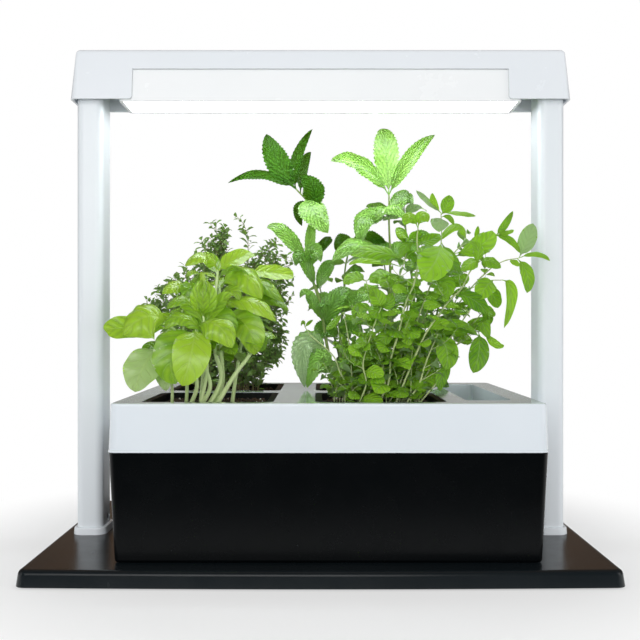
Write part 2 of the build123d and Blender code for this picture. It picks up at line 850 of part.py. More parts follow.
def stem_line(root, tip):
    """The points of a stem that rises straight from its root and leans over to its tip."""
    knee = Vector(root.X, root.Y, (root.Z + tip.Z) / 2)
    points = []
    for step in range(stem_steps + 1):
        share = step / stem_steps
        rest = 1 - share
        points.append(root * rest * rest + knee * 2 * rest * share + tip * share * share)
    return points


def point_on(line, share):
    """The point at a share of a stem's steps."""
    step = min(int(share * stem_steps), stem_steps - 1)
    return line[step] + (line[step + 1] - line[step]) * (share * stem_steps - step)


def stalk(line, width):
    """A four-sided stem that thins towards its tip."""
    points = []
    for step, middle in enumerate(line):
        reach = width / 2 * (1 - stem_thinning_share * step / stem_steps)
        points += [middle + Vector(x * reach, y * reach, 0) for x, y in quarter_turns]
    faces = [(0, 2, 1), (0, 3, 2)]
    for step in range(stem_steps):
        low = 4 * step
        for side in range(4):
            turn = (side + 1) % 4
            faces.append((low + side, low + turn, low + 4 + turn))
            faces.append((low + side, low + 4 + turn, low + 4 + side))
    top = 4 * stem_steps
    faces += [(top, top + 1, top + 2), (top, top + 2, top + 3)]
    return solid_from(points, faces)


def leaf(foot, tip, width):
    """A leaf blade folded along its midrib, its sides raised and its tip hanging."""
    along = tip - foot
    length = along.length
    along = along.normalized()
    across = Vector(-along.Y, along.X, 0).normalized()
    up = along.cross(across)
    points = [foot]
    for share, width_share in zip(leaf_shares, leaf_width_shares):
        reach = across * (width / 2 * width_share)
        rib = foot + along * (length * share) + up * (length * leaf_arch_share * share * (1 - share) * 4)
        lift = up * (width * leaf_fold_share)
        points += [rib - reach + lift, rib + up * (leaf_thickness / 2)]
        points += [rib + reach + lift, rib - up * (leaf_thickness / 2)]
    points.append(tip)
    faces = [(0, 1 + side, 1 + (side + 1) % 4) for side in range(4)]
    for side in range(4):
        turn = (side + 1) % 4
        faces.append((1 + side, 5 + side, 5 + turn))
        faces.append((1 + side, 5 + turn, 1 + turn))
        faces.append((9, 5 + turn, 5 + side))
    return solid_from(points, faces)


def kept_inside(point, room, margin):
    """The point, moved sideways until it lies in its plant's room, a margin from the room's edges."""
    (x_low, x_high), (y_low, y_high) = room
    x = min(max(point.X, x_low + margin), x_high - margin)
    y = min(max(point.Y, y_low + margin), y_high - margin)
    return Vector(x, y, point.Z)


def leaf_pair(foot, turn, length, width, room):
    """Two leaves facing each other across a stem. One that meets its room's edge stands up instead."""
    leaves = []
    for side in (0, 180):
        heading = radians(turn + side)
        reach = Vector(cos(heading), sin(heading), 0) * (length * leaf_reach_share)
        end = kept_inside(foot + reach, room, width / 2)
        flat = (end - foot).length
        if flat > width / 2:
            end += Vector(0, 0, sqrt(max(length**2 - flat**2, 0)))
            leaves.append(leaf(foot, end, width))
    return leaves


def grow(corner, stems, room, height, stem_width, leaf_length, leaf_width, pairs, first, last):
    """Stems with their pairs of leaves, which start at the share first of each stem.

    The topmost leaves are last times as long as the lowest.
    """
    middle = Vector(*pot_places[corner], soil_top)
    pieces = []
    for number, (root_x, root_y, tip_x, tip_y, rise) in enumerate(stems):
        root = middle + Vector(root_x, root_y, 0) * pot_hole
        tip = middle + Vector(tip_x, tip_y, 0) * pot_hole + Vector(0, 0, rise * height)
        line = stem_line(root, tip)
        pieces.append(stalk(line, stem_width))
        for pair in range(pairs):
            step = pair / (pairs - 1)
            share = first + (top_pair_share - first) * step
            foot = point_on(line, share)
            size = 1 + (last - 1) * step
            turn = number * golden_turn + pair * 90
            pieces += leaf_pair(foot, turn, leaf_length * size, leaf_width * size, room)
    return pieces


def joined(pieces):
    return pieces[0].fuse(*pieces[1:])


def make_basil():
    room = ((-plant_spread, middle_x - plant_gap), (plant_front, planter_y - plant_gap))
    return joined(
        grow(
            "front_left", basil_stem_shares, room, basil_height, basil_stem,
            basil_leaf_length, basil_leaf_width, pairs=3, first=0.45, last=0.8,
        )
    )


def make_oregano():
    room = ((middle_x + plant_gap, plant_spread), (plant_front, -lamp_side))
    return joined(
        grow(
            "front_right", oregano_stem_shares, room, oregano_height, oregano_stem,
            oregano_leaf_length, oregano_leaf_width, pairs=4, first=0.3, last=0.8,
        )
    )


def make_mint():
    upright_room = ((middle_x - plant_gap, plant_spread), (lamp_side, plant_back))
    leaning_room = ((-plant_spread, plant_spread), (lamp_side, leaning_side - plant_gap))
    sizes = (mint_height, mint_stem, mint_leaf_length, mint_leaf_width)
    upright = grow(
        "back_right", mint_stem_shares, upright_room, *sizes, pairs=4, first=0.35, last=0.9
    )
    leaning = grow(
        "back_right", mint_leaning_stem_shares, leaning_room, *sizes, pairs=3, first=0.7, last=0.9
    )
    return joined(upright + leaning)


def make_thyme():
    room = ((-plant_spread, middle_x - 2 * plant_gap), (leaning_side + plant_gap, plant_back))
    return joined(
        grow(
            "back_left", thyme_stem_shares, room, thyme_height, thyme_stem,
            thyme_leaf_length, thyme_leaf_width, pairs=6, first=0.25, last=0.7,
        )
    )


os.makedirs("parts", exist_ok=True)

save("base_plinth", make_plinth())
save_group("plinth_feet", make_feet())
save("dc_inlet", make_inlet())
save("post_left", make_post(-1))
save("post_right", make_post(1))
save("foot_collar_left", make_collar(-1))
save("foot_collar_right", make_collar(1))
save_group("post_foot_plugs", make_plugs(foot_plug_height, plinth_top))
save_group("post_head_plugs", make_plugs(head_plug_height, post_top - head_plug_height))
save_group("foot_screws", make_foot_screws())
save_group("hood_screws", make_hood_screws())
save_group("screw_caps", make_caps())
save("hood_shell", make_hood())
save("lamp_housing", make_lamp_housing())
save("diffuser", make_diffuser())
save("heat_spreader", make_spreader())
save_group("led_boards", make_boards())
save_group("led_chips", make_chips())
save_group("lamp_screws", make_lamp_screws())
save("led_driver", make_driver())
save("internal_lead", make_lead())
save("switch_frame", make_switch_frame())
save("switch_rocker", make_rocker())
save("reservoir", make_reservoir())
save("top_tray", make_tray())
for corner, (x, y) in pot_places.items():
    save(f"pot_{corner}", Pos(x, y, 0) * make_pot())
    save(f"soil_{corner}", Pos(x, y, 0) * make_soil())
    save(f"wick_{corner}", Pos(x, y, 0) * make_wick())
save("basil_plant", make_basil())
save("oregano_plant", make_oregano())
save("mint_plant", make_mint())
save("thyme_plant", make_thyme())
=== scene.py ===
import math
import random
from functools import partial

import bpy
import numpy as np
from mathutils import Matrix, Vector


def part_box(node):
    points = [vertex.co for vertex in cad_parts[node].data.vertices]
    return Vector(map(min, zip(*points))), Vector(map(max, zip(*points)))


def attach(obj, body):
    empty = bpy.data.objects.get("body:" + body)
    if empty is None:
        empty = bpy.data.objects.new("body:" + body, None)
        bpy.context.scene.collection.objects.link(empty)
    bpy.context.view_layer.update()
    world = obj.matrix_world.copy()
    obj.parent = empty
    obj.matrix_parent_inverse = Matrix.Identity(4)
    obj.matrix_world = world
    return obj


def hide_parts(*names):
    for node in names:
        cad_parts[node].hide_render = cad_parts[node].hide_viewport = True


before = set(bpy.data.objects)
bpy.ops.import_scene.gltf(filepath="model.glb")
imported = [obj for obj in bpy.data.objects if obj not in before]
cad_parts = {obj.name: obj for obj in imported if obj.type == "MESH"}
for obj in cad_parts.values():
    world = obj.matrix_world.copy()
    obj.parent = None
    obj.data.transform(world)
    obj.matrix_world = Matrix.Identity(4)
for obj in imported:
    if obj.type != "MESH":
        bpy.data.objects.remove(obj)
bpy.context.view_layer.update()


def new_object(name, data):
    made = bpy.data.objects.new(name, data)
    bpy.context.collection.objects.link(made)
    return made


# Camera

EYE_Y = -1.067
EYE_Z = 0.258
FRAME_PIXELS = 640
FOCAL_PIXELS = 912.5       # the lens, in pixels of the frame
MIDDLE_X = 320.5           # the pixel column of the object's middle plane
HORIZON_Y = 324.6          # the pixel row at the camera's own height
FILM_WIDTH = 36.0          # millimetres

lens = bpy.data.cameras.new("camera")
lens.sensor_width = FILM_WIDTH
lens.lens = FOCAL_PIXELS * FILM_WIDTH / FRAME_PIXELS
lens.shift_x = (FRAME_PIXELS / 2 - MIDDLE_X) / FRAME_PIXELS
lens.shift_y = (HORIZON_Y - FRAME_PIXELS / 2) / FRAME_PIXELS
camera = new_object("camera", lens)
camera.location = (0, EYE_Y, EYE_Z)
camera.rotation_euler = (math.radians(90), 0, 0)
bpy.context.scene.camera = camera
bpy.context.scene.view_settings.view_transform = "Standard"


def seen(x, y, depth):
    """The point in metres that shows at pixel x, y, at the given depth in millimetres along Y."""
    scale = (depth / 1000 - EYE_Y) / FOCAL_PIXELS
    return Vector(((x - MIDDLE_X) * scale, depth / 1000, EYE_Z + (HORIZON_Y - y) * scale))


# Materials

def tint(code):
    """An sRGB hex colour as the linear colour that a socket takes."""
    parts = [int(code[i:i + 2], 16) / 255 for i in (0, 2, 4)]
    return [c / 12.92 if c <= 0.04045 else ((c + 0.055) / 1.055) ** 2.4 for c in parts] + [1.0]


def add_node(tree, kind, inputs=None, **settings):
    """Adds one node. Among the inputs a socket is linked, a node is linked by the first output
    that its settings leave in use, and any other value is set."""
    made = tree.nodes.new(kind)
    for name, value in settings.items():
        setattr(made, name, value)
    for name, value in (inputs or {}).items():
        if isinstance(value, bpy.types.Node):
            value = next(out for out in value.outputs if out.enabled)
        if isinstance(value, bpy.types.NodeSocket):
            tree.links.new(value, made.inputs[name])
        else:
            made.inputs[name].default_value = value
    return made


def new_material(name):
    """A bare material, what adds a node to it, and the place on the object for its textures."""
    made = bpy.data.materials.new(name)
    made.use_nodes = True
    made.node_tree.nodes.clear()
    add = partial(add_node, made.node_tree)
    return made, add, add("ShaderNodeTexCoord").outputs["Object"]


def shade(add, kind, inputs):
    add("ShaderNodeOutputMaterial", {"Surface": add(kind, inputs)})


def moulded(name, light, dark, roughness, grain, depth, spread=0.05, coat=0.0, shine=0.5,
            painted_top_shade=None):
    """Moulded plastic: a fine grain from the mould, soft mottling of the colour, and gloss that
    varies a little with handling. grain and depth are in millimetres, and the last colour, if
    given, is painted on the faces that look up, as painted shade and painted reflection of what
    stands above them."""
    made, add, place = new_material(name)
    mottle = add("ShaderNodeTexNoise", {"Vector": place, "Scale": 9.0, "Detail": 4.0})
    colour = add("ShaderNodeMix", {0: mottle, 6: tint(dark), 7: tint(light)}, data_type="RGBA")
    # Painted shade: faces that look up are tinted towards a darker colour, in place of the shade
    # and reflections they get from above.
    if painted_top_shade:
        normal = add("ShaderNodeNewGeometry").outputs["Normal"]
        axes = add("ShaderNodeSeparateXYZ", {0: normal}).outputs
        level = add("ShaderNodeMapRange", {"Value": axes["Z"], "From Min": 0.7})
        colour = add("ShaderNodeMix", {0: level, 6: colour, 7: tint(painted_top_shade)}, data_type="RGBA")
    wipe = add("ShaderNodeTexNoise", {
        "Vector": place, "Scale": 26.0, "Detail": 5.0, "Roughness": 0.6})
    gloss = add("ShaderNodeMapRange", {
        "Value": wipe, "From Min": 0.3, "From Max": 0.7, "To Min": roughness - spread,
        "To Max": roughness + spread})
    pits = add("ShaderNodeTexNoise", {"Vector": place, "Scale": 1000.0 / grain, "Detail": 2.0})
    bump = add("ShaderNodeBump", {"Height": pits, "Strength": 0.35, "Distance": depth / 1000})
    shade(add, "ShaderNodeBsdfPrincipled", {
        "Base Color": colour, "Roughness": gloss, "Specular IOR Level": shine, "Coat Weight": coat,
        "Coat Roughness": 0.08, "Normal": bump})
    return made


# Black ABS, moulded in a mould with a fine spark-eroded skin: satin, with soft reflections.
BLACK_ABS = moulded("black_abs_satin", "181f23", "11171a", 0.24, 0.9, 0.03, 0.04, shine=0.35)
# The reservoir's black ABS, from a smoother mould: deeper, because less light scatters off it.
DEEP_ABS = moulded("black_abs_smooth", "080b0d", "050708", 0.26, 1.2, 0.03, shine=0.15)
# White ABS, moulded and polished: soft gloss, a trace of blue in the white.
WHITE_ABS = moulded("white_abs_gloss", "eff3f8", "e9eff4", 0.24, 2.6, 0.02)
# The lamp's thin housing: a brighter white than the hood, painted glow for its light showing
# through.
LAMP_ABS = moulded("white_abs_lamp", "fbfdfe", "f6f9fb", 0.24, 2.6, 0.02)
# The same white ABS on the trough's tray, wiped often, so glossier and with faint smears. Its
# deck is painted a darker grey-green, as painted shade and painted reflection of the plants above.
DECK_ABS = moulded("white_abs_deck", "e8eff5", "e1e9f0", 0.1, 3.4, 0.005, 0.04, 0.4,
                   painted_top_shade="b9c8bc")
# Polypropylene pots, thin and blow-smooth: darker and slightly waxy.
POT_PLASTIC = moulded("polypropylene_pot", "121416", "0b0c0d", 0.58, 1.4, 0.06, 0.08, shine=0.25)
# Black nylon fittings of the switch and the socket: matt, with a glint on the edges.
BLACK_FITTINGS = moulded("black_nylon_fittings", "1c1d1f", "131415", 0.42, 0.7, 0.04)
# Natural nylon plugs, milky and a little yellow.
NYLON = moulded("natural_nylon", "dcd8c8", "cfcab8", 0.45, 0.8, 0.04)
# Styrene rubber feet: dull, with a dusty bloom.
RUBBER = moulded("styrene_rubber_feet", "26262a", "17171a", 0.78, 0.6, 0.08, 0.06)
# PVC jacket of the lead inside the post: smooth and slightly shiny.
LEAD_JACKET = moulded("pvc_lead_jacket", "1d1d20", "151517", 0.38, 1.2, 0.03, 0.06)


def streaked(name, light, dark, stretch, gloss, depth, strength=0.4, detail=3.0, mottled=False,
             more=None):
    """A surface with fine lines along its length, as rolling, drawing or growth leaves them.
    stretch holds the lines per metre along each axis, gloss one roughness or its two ends, depth
    the lines' depth in millimetres, and more the shader's other inputs. The colour follows the
    lines, or soft mottling."""
    made, add, place = new_material(name)
    along = add("ShaderNodeMapping", {"Vector": place, "Scale": stretch})
    lines = add("ShaderNodeTexNoise", {"Vector": along, "Scale": 1.0, "Detail": detail})
    shift = lines
    if mottled:
        shift = add("ShaderNodeTexNoise", {"Vector": place, "Scale": 7.0, "Detail": 4.0})
    colour = add("ShaderNodeMix", {0: shift, 6: tint(dark), 7: tint(light)}, data_type="RGBA")
    if isinstance(gloss, tuple):
        gloss = add("ShaderNodeMapRange", {"Value": lines, "To Min": gloss[0], "To Max": gloss[1]})
    bump = add("ShaderNodeBump", {"Height": lines, "Strength": strength, "Distance": depth / 1000})
    shade(add, "ShaderNodeBsdfPrincipled", {
        "Base Color": colour, "Roughness": gloss, "Normal": bump, **(more or {})})
    return made


# Extruded white tube: the die leaves faint lines along its length, 1.5 mm apart as drawn here,
# and the satin shows them only where light grazes.
TUBE = streaked("extruded_white_tube", "f1f6fa", "e7eef3", (650.0, 650.0, 6.0), (0.24, 0.38),
                0.06, 0.25, mottled=True, more={"IOR": 1.52})
# Zinc-plated steel screws: bright, a little cloudy.
ZINC = streaked("zinc_plated_steel", "c9c8c2", "a5a49c", (900.0, 900.0, 900.0), (0.24, 0.42),
                0.02, detail=4.0, more={"Metallic": 1.0})
# Mill-finish aluminium sheet, folded: long rolling lines.
ALUMINIUM = streaked("mill_finish_aluminium", "d6d8da", "b9bcbf", (12.0, 900.0, 900.0),
                     (0.26, 0.44), 0.03, detail=4.0, more={"Metallic": 1.0})


def glowing_opal():
    """Opal acrylic with the lamps on behind it: an even white glow, a shade brighter under the
    two rows of lamps and softer towards the ends."""
    made, add, place = new_material("opal_acrylic_lit")
    axes = add("ShaderNodeSeparateXYZ", {0: place}).outputs
    out = add("ShaderNodeMath", {0: axes["X"]}, operation="ABSOLUTE")
    ends = add("ShaderNodeMapRange", {
        "Value": out, "From Min": 0.15, "From Max": 0.23, "To Min": 1.0, "To Max": 0.82},
        interpolation_type="SMOOTHSTEP")
    rows = add("ShaderNodeTexWave", {
        "Vector": place, "Scale": 10.0, "Distortion": 0.0}, bands_direction="Y")
    level = add("ShaderNodeMath", {
        0: rows.outputs["Fac"], 1: 0.06, 2: ends}, operation="MULTIPLY_ADD")
    glow = add("ShaderNodeMath", {0: level, 1: 7.5}, operation="MULTIPLY")
    shade(add, "ShaderNodeBsdfPrincipled", {
        "Base Color": tint("f2f6f8"), "Roughness": 0.3, "IOR": 1.49,
        "Emission Color": tint("f6fbff"), "Emission Strength": glow})
    return made


def lit_chip():
    """An LED's phosphor, glowing warm white inside its yellow resin."""
    made, add, place = new_material("led_phosphor")
    specks = add("ShaderNodeTexNoise", {"Vector": place, "Scale": 1500.0, "Detail": 2.0})
    colour = add("ShaderNodeMix", {
        0: specks, 6: tint("f0d060"), 7: tint("f8e69a")}, data_type="RGBA")
    shade(add, "ShaderNodeBsdfPrincipled", {
        "Base Color": colour, "Roughness": 0.25, "IOR": 1.5, "Emission Color": tint("fff4dc"),
        "Emission Strength": 3.0})
    return made


def solder_mask():
    """White solder mask of the lamp boards, with faint copper tracks showing through."""
    made, add, place = new_material("white_solder_mask")
    tracks = add("ShaderNodeTexBrick", {
        "Vector": place, "Scale": 60.0, "Color1": tint("e9eae5"), "Color2": tint("e2e4dd"),
        "Mortar": tint("cfd3c4"), "Mortar Size": 0.03})
    shade(add, "ShaderNodeBsdfPrincipled", {"Base Color": tracks, "Roughness": 0.36})
    return made


def felt():
    """Grey wicking felt: needle-punched fibres, wet at the foot, so darker there."""
    made, add, place = new_material("wicking_felt")
    fibres = add("ShaderNodeTexNoise", {
        "Vector": place, "Scale": 900.0, "Detail": 6.0, "Distortion": 2.0})
    axes = add("ShaderNodeSeparateXYZ", {0: place}).outputs
    dry = add("ShaderNodeMapRange", {"Value": axes["Z"], "From Min": 0.045, "From Max": 0.085})
    pale = add("ShaderNodeMix", {
        0: fibres, 6: tint("8f9088"), 7: tint("c9c9c0")}, data_type="RGBA")
    colour = add("ShaderNodeMix", {0: dry, 6: tint("5f6059"), 7: pale}, data_type="RGBA")
    bump = add("ShaderNodeBump", {"Height": fibres, "Strength": 0.7, "Distance": 0.0004})
    shade(add, "ShaderNodeBsdfPrincipled", {
        "Base Color": colour, "Roughness": 0.92, "Sheen Weight": 0.25, "Normal": bump})
    return made


def compost():
    """Potting compost: peat and bark crumbs, damp, so dark with a few shiny spots."""
    made, add, place = new_material("potting_compost")
    lumps = add("ShaderNodeTexVoronoi", {"Vector": place, "Scale": 420.0})
    peat = add("ShaderNodeTexNoise", {"Vector": place, "Scale": 130.0, "Detail": 6.0})
    colour = add("ShaderNodeValToRGB", {0: peat})
    for stop, position, shown in zip(colour.color_ramp.elements, (0.32, 0.72),
                                     ("17100b", "5a4232")):
        stop.position = position
        stop.color = tint(shown)
    damp = add("ShaderNodeMapRange", {
        "Value": peat, "From Min": 0.35, "From Max": 0.6, "To Min": 0.5, "To Max": 0.95})
    bump = add("ShaderNodeBump", {"Height": lumps, "Strength": 0.8, "Distance": 0.0012})
    shade(add, "ShaderNodeBsdfPrincipled", {
        "Base Color": colour, "Roughness": damp, "Normal": bump})
    return made


def perlite():
    """Perlite: white volcanic foam, a little stained by the compost."""
    made, add, place = new_material("perlite")
    foam = add("ShaderNodeTexVoronoi", {"Vector": place, "Scale": 1100.0})
    stain = add("ShaderNodeTexNoise", {"Vector": place, "Scale": 160.0, "Detail": 3.0})
    colour = add("ShaderNodeMix", {
        0: stain, 6: tint("a2998a"), 7: tint("e4e2da")}, data_type="RGBA")
    bump = add("ShaderNodeBump", {"Height": foam, "Strength": 0.6, "Distance": 0.0005})
    shade(add, "ShaderNodeBsdfPrincipled", {
        "Base Color": colour, "Roughness": 0.85, "Normal": bump})
    return made


def foliage(name, deep, bright, under, vein, pairs, slant, gloss, pucker, glow, crinkle=0.0,
            etch=0.22, coat=0.0, bands=0.6):
    """A leaf of one herb. The leaf's own map runs u from the foot to the tip and v across. Veins
    leave the midrib in pairs and bend towards the tip; the blade stands up between them, and is
    painted lighter on these puffs and darker along the veins, as painted light and shade. tone
    sets how young and bright each leaf is, partly as painted light: it is raised on leaves that
    the lamp lights, and below zero it paints the leaf in shade. under is 1 on the paler lower
    side."""
    made, add, place = new_material(name)
    leaf_map = add("ShaderNodeUVMap", uv_map="leaf")
    spread = add("ShaderNodeSeparateXYZ", {0: leaf_map}).outputs
    side = add("ShaderNodeMath", {0: spread["Y"], 1: 0.5}, operation="SUBTRACT")
    across = add("ShaderNodeMath", {0: side}, operation="ABSOLUTE")
    back = add("ShaderNodeMath", {0: across, 1: -slant, 2: spread["X"]}, operation="MULTIPLY_ADD")
    count = add("ShaderNodeMath", {0: back, 1: float(pairs)}, operation="MULTIPLY")
    drift = add("ShaderNodeTexNoise", {"Vector": place, "Scale": 60.0, "Detail": 2.0})
    count = add("ShaderNodeMath", {0: drift, 1: 0.12, 2: count}, operation="MULTIPLY_ADD")
    wave = add("ShaderNodeMath", {0: count, 1: 0.5}, operation="PINGPONG")
    lateral = add("ShaderNodeMapRange", {
        "Value": wave, "From Min": 0.02, "From Max": 0.13, "To Min": 0.75, "To Max": 0.0},
        interpolation_type="SMOOTHSTEP")
    midrib = add("ShaderNodeMapRange", {
        "Value": across, "From Min": 0.012, "From Max": 0.045, "To Min": 1.0, "To Max": 0.0},
        interpolation_type="SMOOTHSTEP")
    net = add("ShaderNodeMath", {0: lateral, 1: midrib}, operation="MAXIMUM")
    patches = add("ShaderNodeTexNoise", {"Vector": place, "Scale": 75.0, "Detail": 4.0})
    tone = add("ShaderNodeAttribute", attribute_name="tone").outputs["Fac"]
    shifted = add("ShaderNodeMath", {0: patches, 1: 0.9, 2: -0.45}, operation="MULTIPLY_ADD")
    # Painted light and shade: the colour is lighter on the puffs between the veins and darker
    # along the veins.
    painted_puff_shading = add("ShaderNodeMath", {0: wave, 1: bands, 2: shifted}, operation="MULTIPLY_ADD")
    age_and_painted_light = add("ShaderNodeMath", {0: tone, 1: painted_puff_shading}, operation="ADD", use_clamp=True)
    blade_green = add("ShaderNodeMix", {0: age_and_painted_light, 6: tint(deep), 7: tint(bright)}, data_type="RGBA")
    lower = add("ShaderNodeAttribute", attribute_name="under").outputs["Fac"]
    sided = add("ShaderNodeMix", {0: lower, 6: blade_green, 7: tint(under)}, data_type="RGBA")
    faint = add("ShaderNodeMath", {0: net, 1: etch}, operation="MULTIPLY")
    veined = add("ShaderNodeMix", {0: faint, 6: sided, 7: tint(vein)}, data_type="RGBA")
    # Painted shade: a leaf whose tone is below zero is darkened towards a deep shaded green.
    painted_shade = add("ShaderNodeMapRange", {
        "Value": tone, "From Min": 0.0, "From Max": -1.0, "To Max": 0.8})
    colour = add("ShaderNodeMix", {0: painted_shade, 6: veined, 7: tint("2c4410")}, data_type="RGBA")
    cells = add("ShaderNodeTexVoronoi", {"Vector": place, "Scale": 270.0}, feature="SMOOTH_F1")
    puffed = add("ShaderNodeMath", {0: cells, 1: -crinkle, 2: wave}, operation="MULTIPLY_ADD")
    relief = add("ShaderNodeMath", {0: net, 1: -0.45, 2: puffed}, operation="MULTIPLY_ADD")
    bump = add("ShaderNodeBump", {"Height": relief, "Strength": 0.8, "Distance": pucker / 1000})
    wax = add("ShaderNodeMapRange", {
        "Value": drift, "From Min": 0.3, "From Max": 0.7, "To Min": gloss - 0.07,
        "To Max": gloss + 0.1})
    # Leaves painted in shade lose most of their shine as well.
    shade_dulled = [add("ShaderNodeMapRange", {
        "Value": tone, "From Min": -0.3, "From Max": 0.05, "To Min": low, "To Max": high})
        for low, high in ((0.1, 0.5), (0.15 * coat, coat)) if high]
    skin = add("ShaderNodeBsdfPrincipled", {
        "Base Color": colour, "Roughness": wax, "IOR": 1.45, "Specular IOR Level": shade_dulled[0],
        "Coat Weight": shade_dulled[1] if coat else 0.0, "Coat Roughness": 0.3, "Coat IOR": 1.75,
        "Normal": bump})
    through = add("ShaderNodeMix", {0: 0.5, 6: colour, 7: tint("d2f538")}, data_type="RGBA")
    lit = add("ShaderNodeBsdfTranslucent", {"Color": through, "Normal": bump})
    shade(add, "ShaderNodeMixShader", {0: glow, 1: skin, 2: lit})
    return made


# Basil: glossy, puffed between few veins, lime where the lamp shines through.
BASIL_LEAF = foliage("basil_leaf", "559a0c", "bce23c", "c6dc9c", "d6ea92", 5, 0.62, 0.25, 1.0,
                     0.42, coat=1.0)
# Oregano: matt, with fine hairs, greyer green.
OREGANO_LEAF = foliage("oregano_leaf", "528f1c", "aade3a", "b6d29c", "c4dc9c", 5, 0.7, 0.36, 1.0,
                       0.45, etch=0.3, coat=0.12)
# Mint: crinkled between many veins, with a dull shine on each crinkle. Its veins are painted
# darker, as painted shade in their grooves.
MINT_LEAF = foliage("mint_leaf", "458620", "b0e86e", "dcf4c4", "4f9434", 8, 0.75, 0.3, 2.2,
                    0.42, 1.5, 0.3, 0.8, 0.3)
# Thyme: small grey-green leaves, some browned.
THYME_LEAF = foliage("thyme_leaf", "6b7a3c", "a9cc7c", "a8bc94", "98ac7c", 3, 0.4, 0.5, 0.2, 0.5)

# The herbs' green stems: paler and pinker in streaks along their length, finely hairy.
BASIL_STEM, OREGANO_STEM, MINT_STEM, THYME_STEM = [
    streaked(name, light, dark, (420.0, 420.0, 45.0), gloss, 0.3,
             more={"IOR": 1.42, "Sheen Weight": 0.1})
    for name, light, dark, gloss in (("basil_stem", "e0f0b8", "c2dc90", 0.35),
                                     ("oregano_stem", "c8dc9c", "a2ae70", 0.5),
                                     ("mint_stem", "94b45c", "6f7c44", 0.42),
                                     ("thyme_stem", "aaa27a", "7d6a4c", 0.62))]

# Finishes of the pieces that come from the frame

COMPOST = compost()
POTS = ("front_left", "back_left", "front_right", "back_right")
FINISHES = {
    BLACK_ABS: ["base_plinth"],
    DEEP_ABS: ["reservoir"],
    RUBBER: ["plinth_feet"],
    BLACK_FITTINGS: ["dc_inlet", "switch_frame", "switch_rocker"],
    LEAD_JACKET: ["internal_lead"],
    NYLON: ["post_foot_plugs", "post_head_plugs"],
    ZINC: ["foot_screws", "hood_screws", "lamp_screws"],
    WHITE_ABS: ["hood_shell", "foot_collar_left", "foot_collar_right", "screw_caps",
                "led_driver"],
    LAMP_ABS: ["lamp_housing"],
    DECK_ABS: ["top_tray"],
    ALUMINIUM: ["heat_spreader"],
    TUBE: ["post_left", "post_right"],
    solder_mask(): ["led_boards"],
    lit_chip(): ["led_chips"],
    glowing_opal(): ["diffuser"],
    POT_PLASTIC: ["pot_" + pot for pot in POTS],
    COMPOST: ["soil_" + pot for pot in POTS],
    felt(): ["wick_" + pot for pot in POTS],
}
for finish, nodes in FINISHES.items():
    for node in nodes:
        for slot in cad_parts[node].material_slots:
            slot.material = finish

# Shapes of leaves and stems

# rise and fall shape a leaf's outline, bite is the depth of its teeth, stalk the bare share at its
# foot, wave how much its rim ripples, quilt how far it puffs up between its veins, and thick its
# thickness in metres.
FORMS = {
    "basil": dict(rise=0.5, fall=0.66, bite=0.0, stalk=0.1, rows=28, columns=10, wave=0.06,
                  thick=0.0005, stalk_radius=0.0009, pairs=5, slant=0.62, quilt=0.1),
    "mint": dict(rise=0.55, fall=0.78, bite=0.11, stalk=0.08, rows=34, columns=8, wave=0.07,
                 thick=0.0004, stalk_radius=0.0008, pairs=8, slant=0.75, quilt=0.08),
    "oregano": dict(rise=0.55, fall=0.66, bite=0.0, stalk=0.12, rows=16, columns=6, wave=0.06,
                    thick=0.0004, stalk_radius=0.0005, pairs=5, slant=0.7, quilt=0.06),
    "oregano_small": dict(rise=0.55, fall=0.66, bite=0.0, stalk=0.12, rows=5, columns=2,
                          wave=0.0, thick=0.0004, stalk_radius=0.0004, pairs=1, slant=0.0,
                          quilt=0.0),
    "thyme": dict(rise=0.5, fall=0.6, bite=0.0, stalk=0.06, rows=3, columns=2, wave=0.0,
                  thick=0.0003, stalk_radius=0.0003, pairs=1, slant=0.0, quilt=0.0),
}
FULL_TURN = 6.28           # radians
FLAT = 0.01                # the cup, in radians, below which a leaf counts as flat


def unit(rows):
    return rows / np.maximum(np.linalg.norm(rows, axis=-1, keepdims=True), 1e-9)


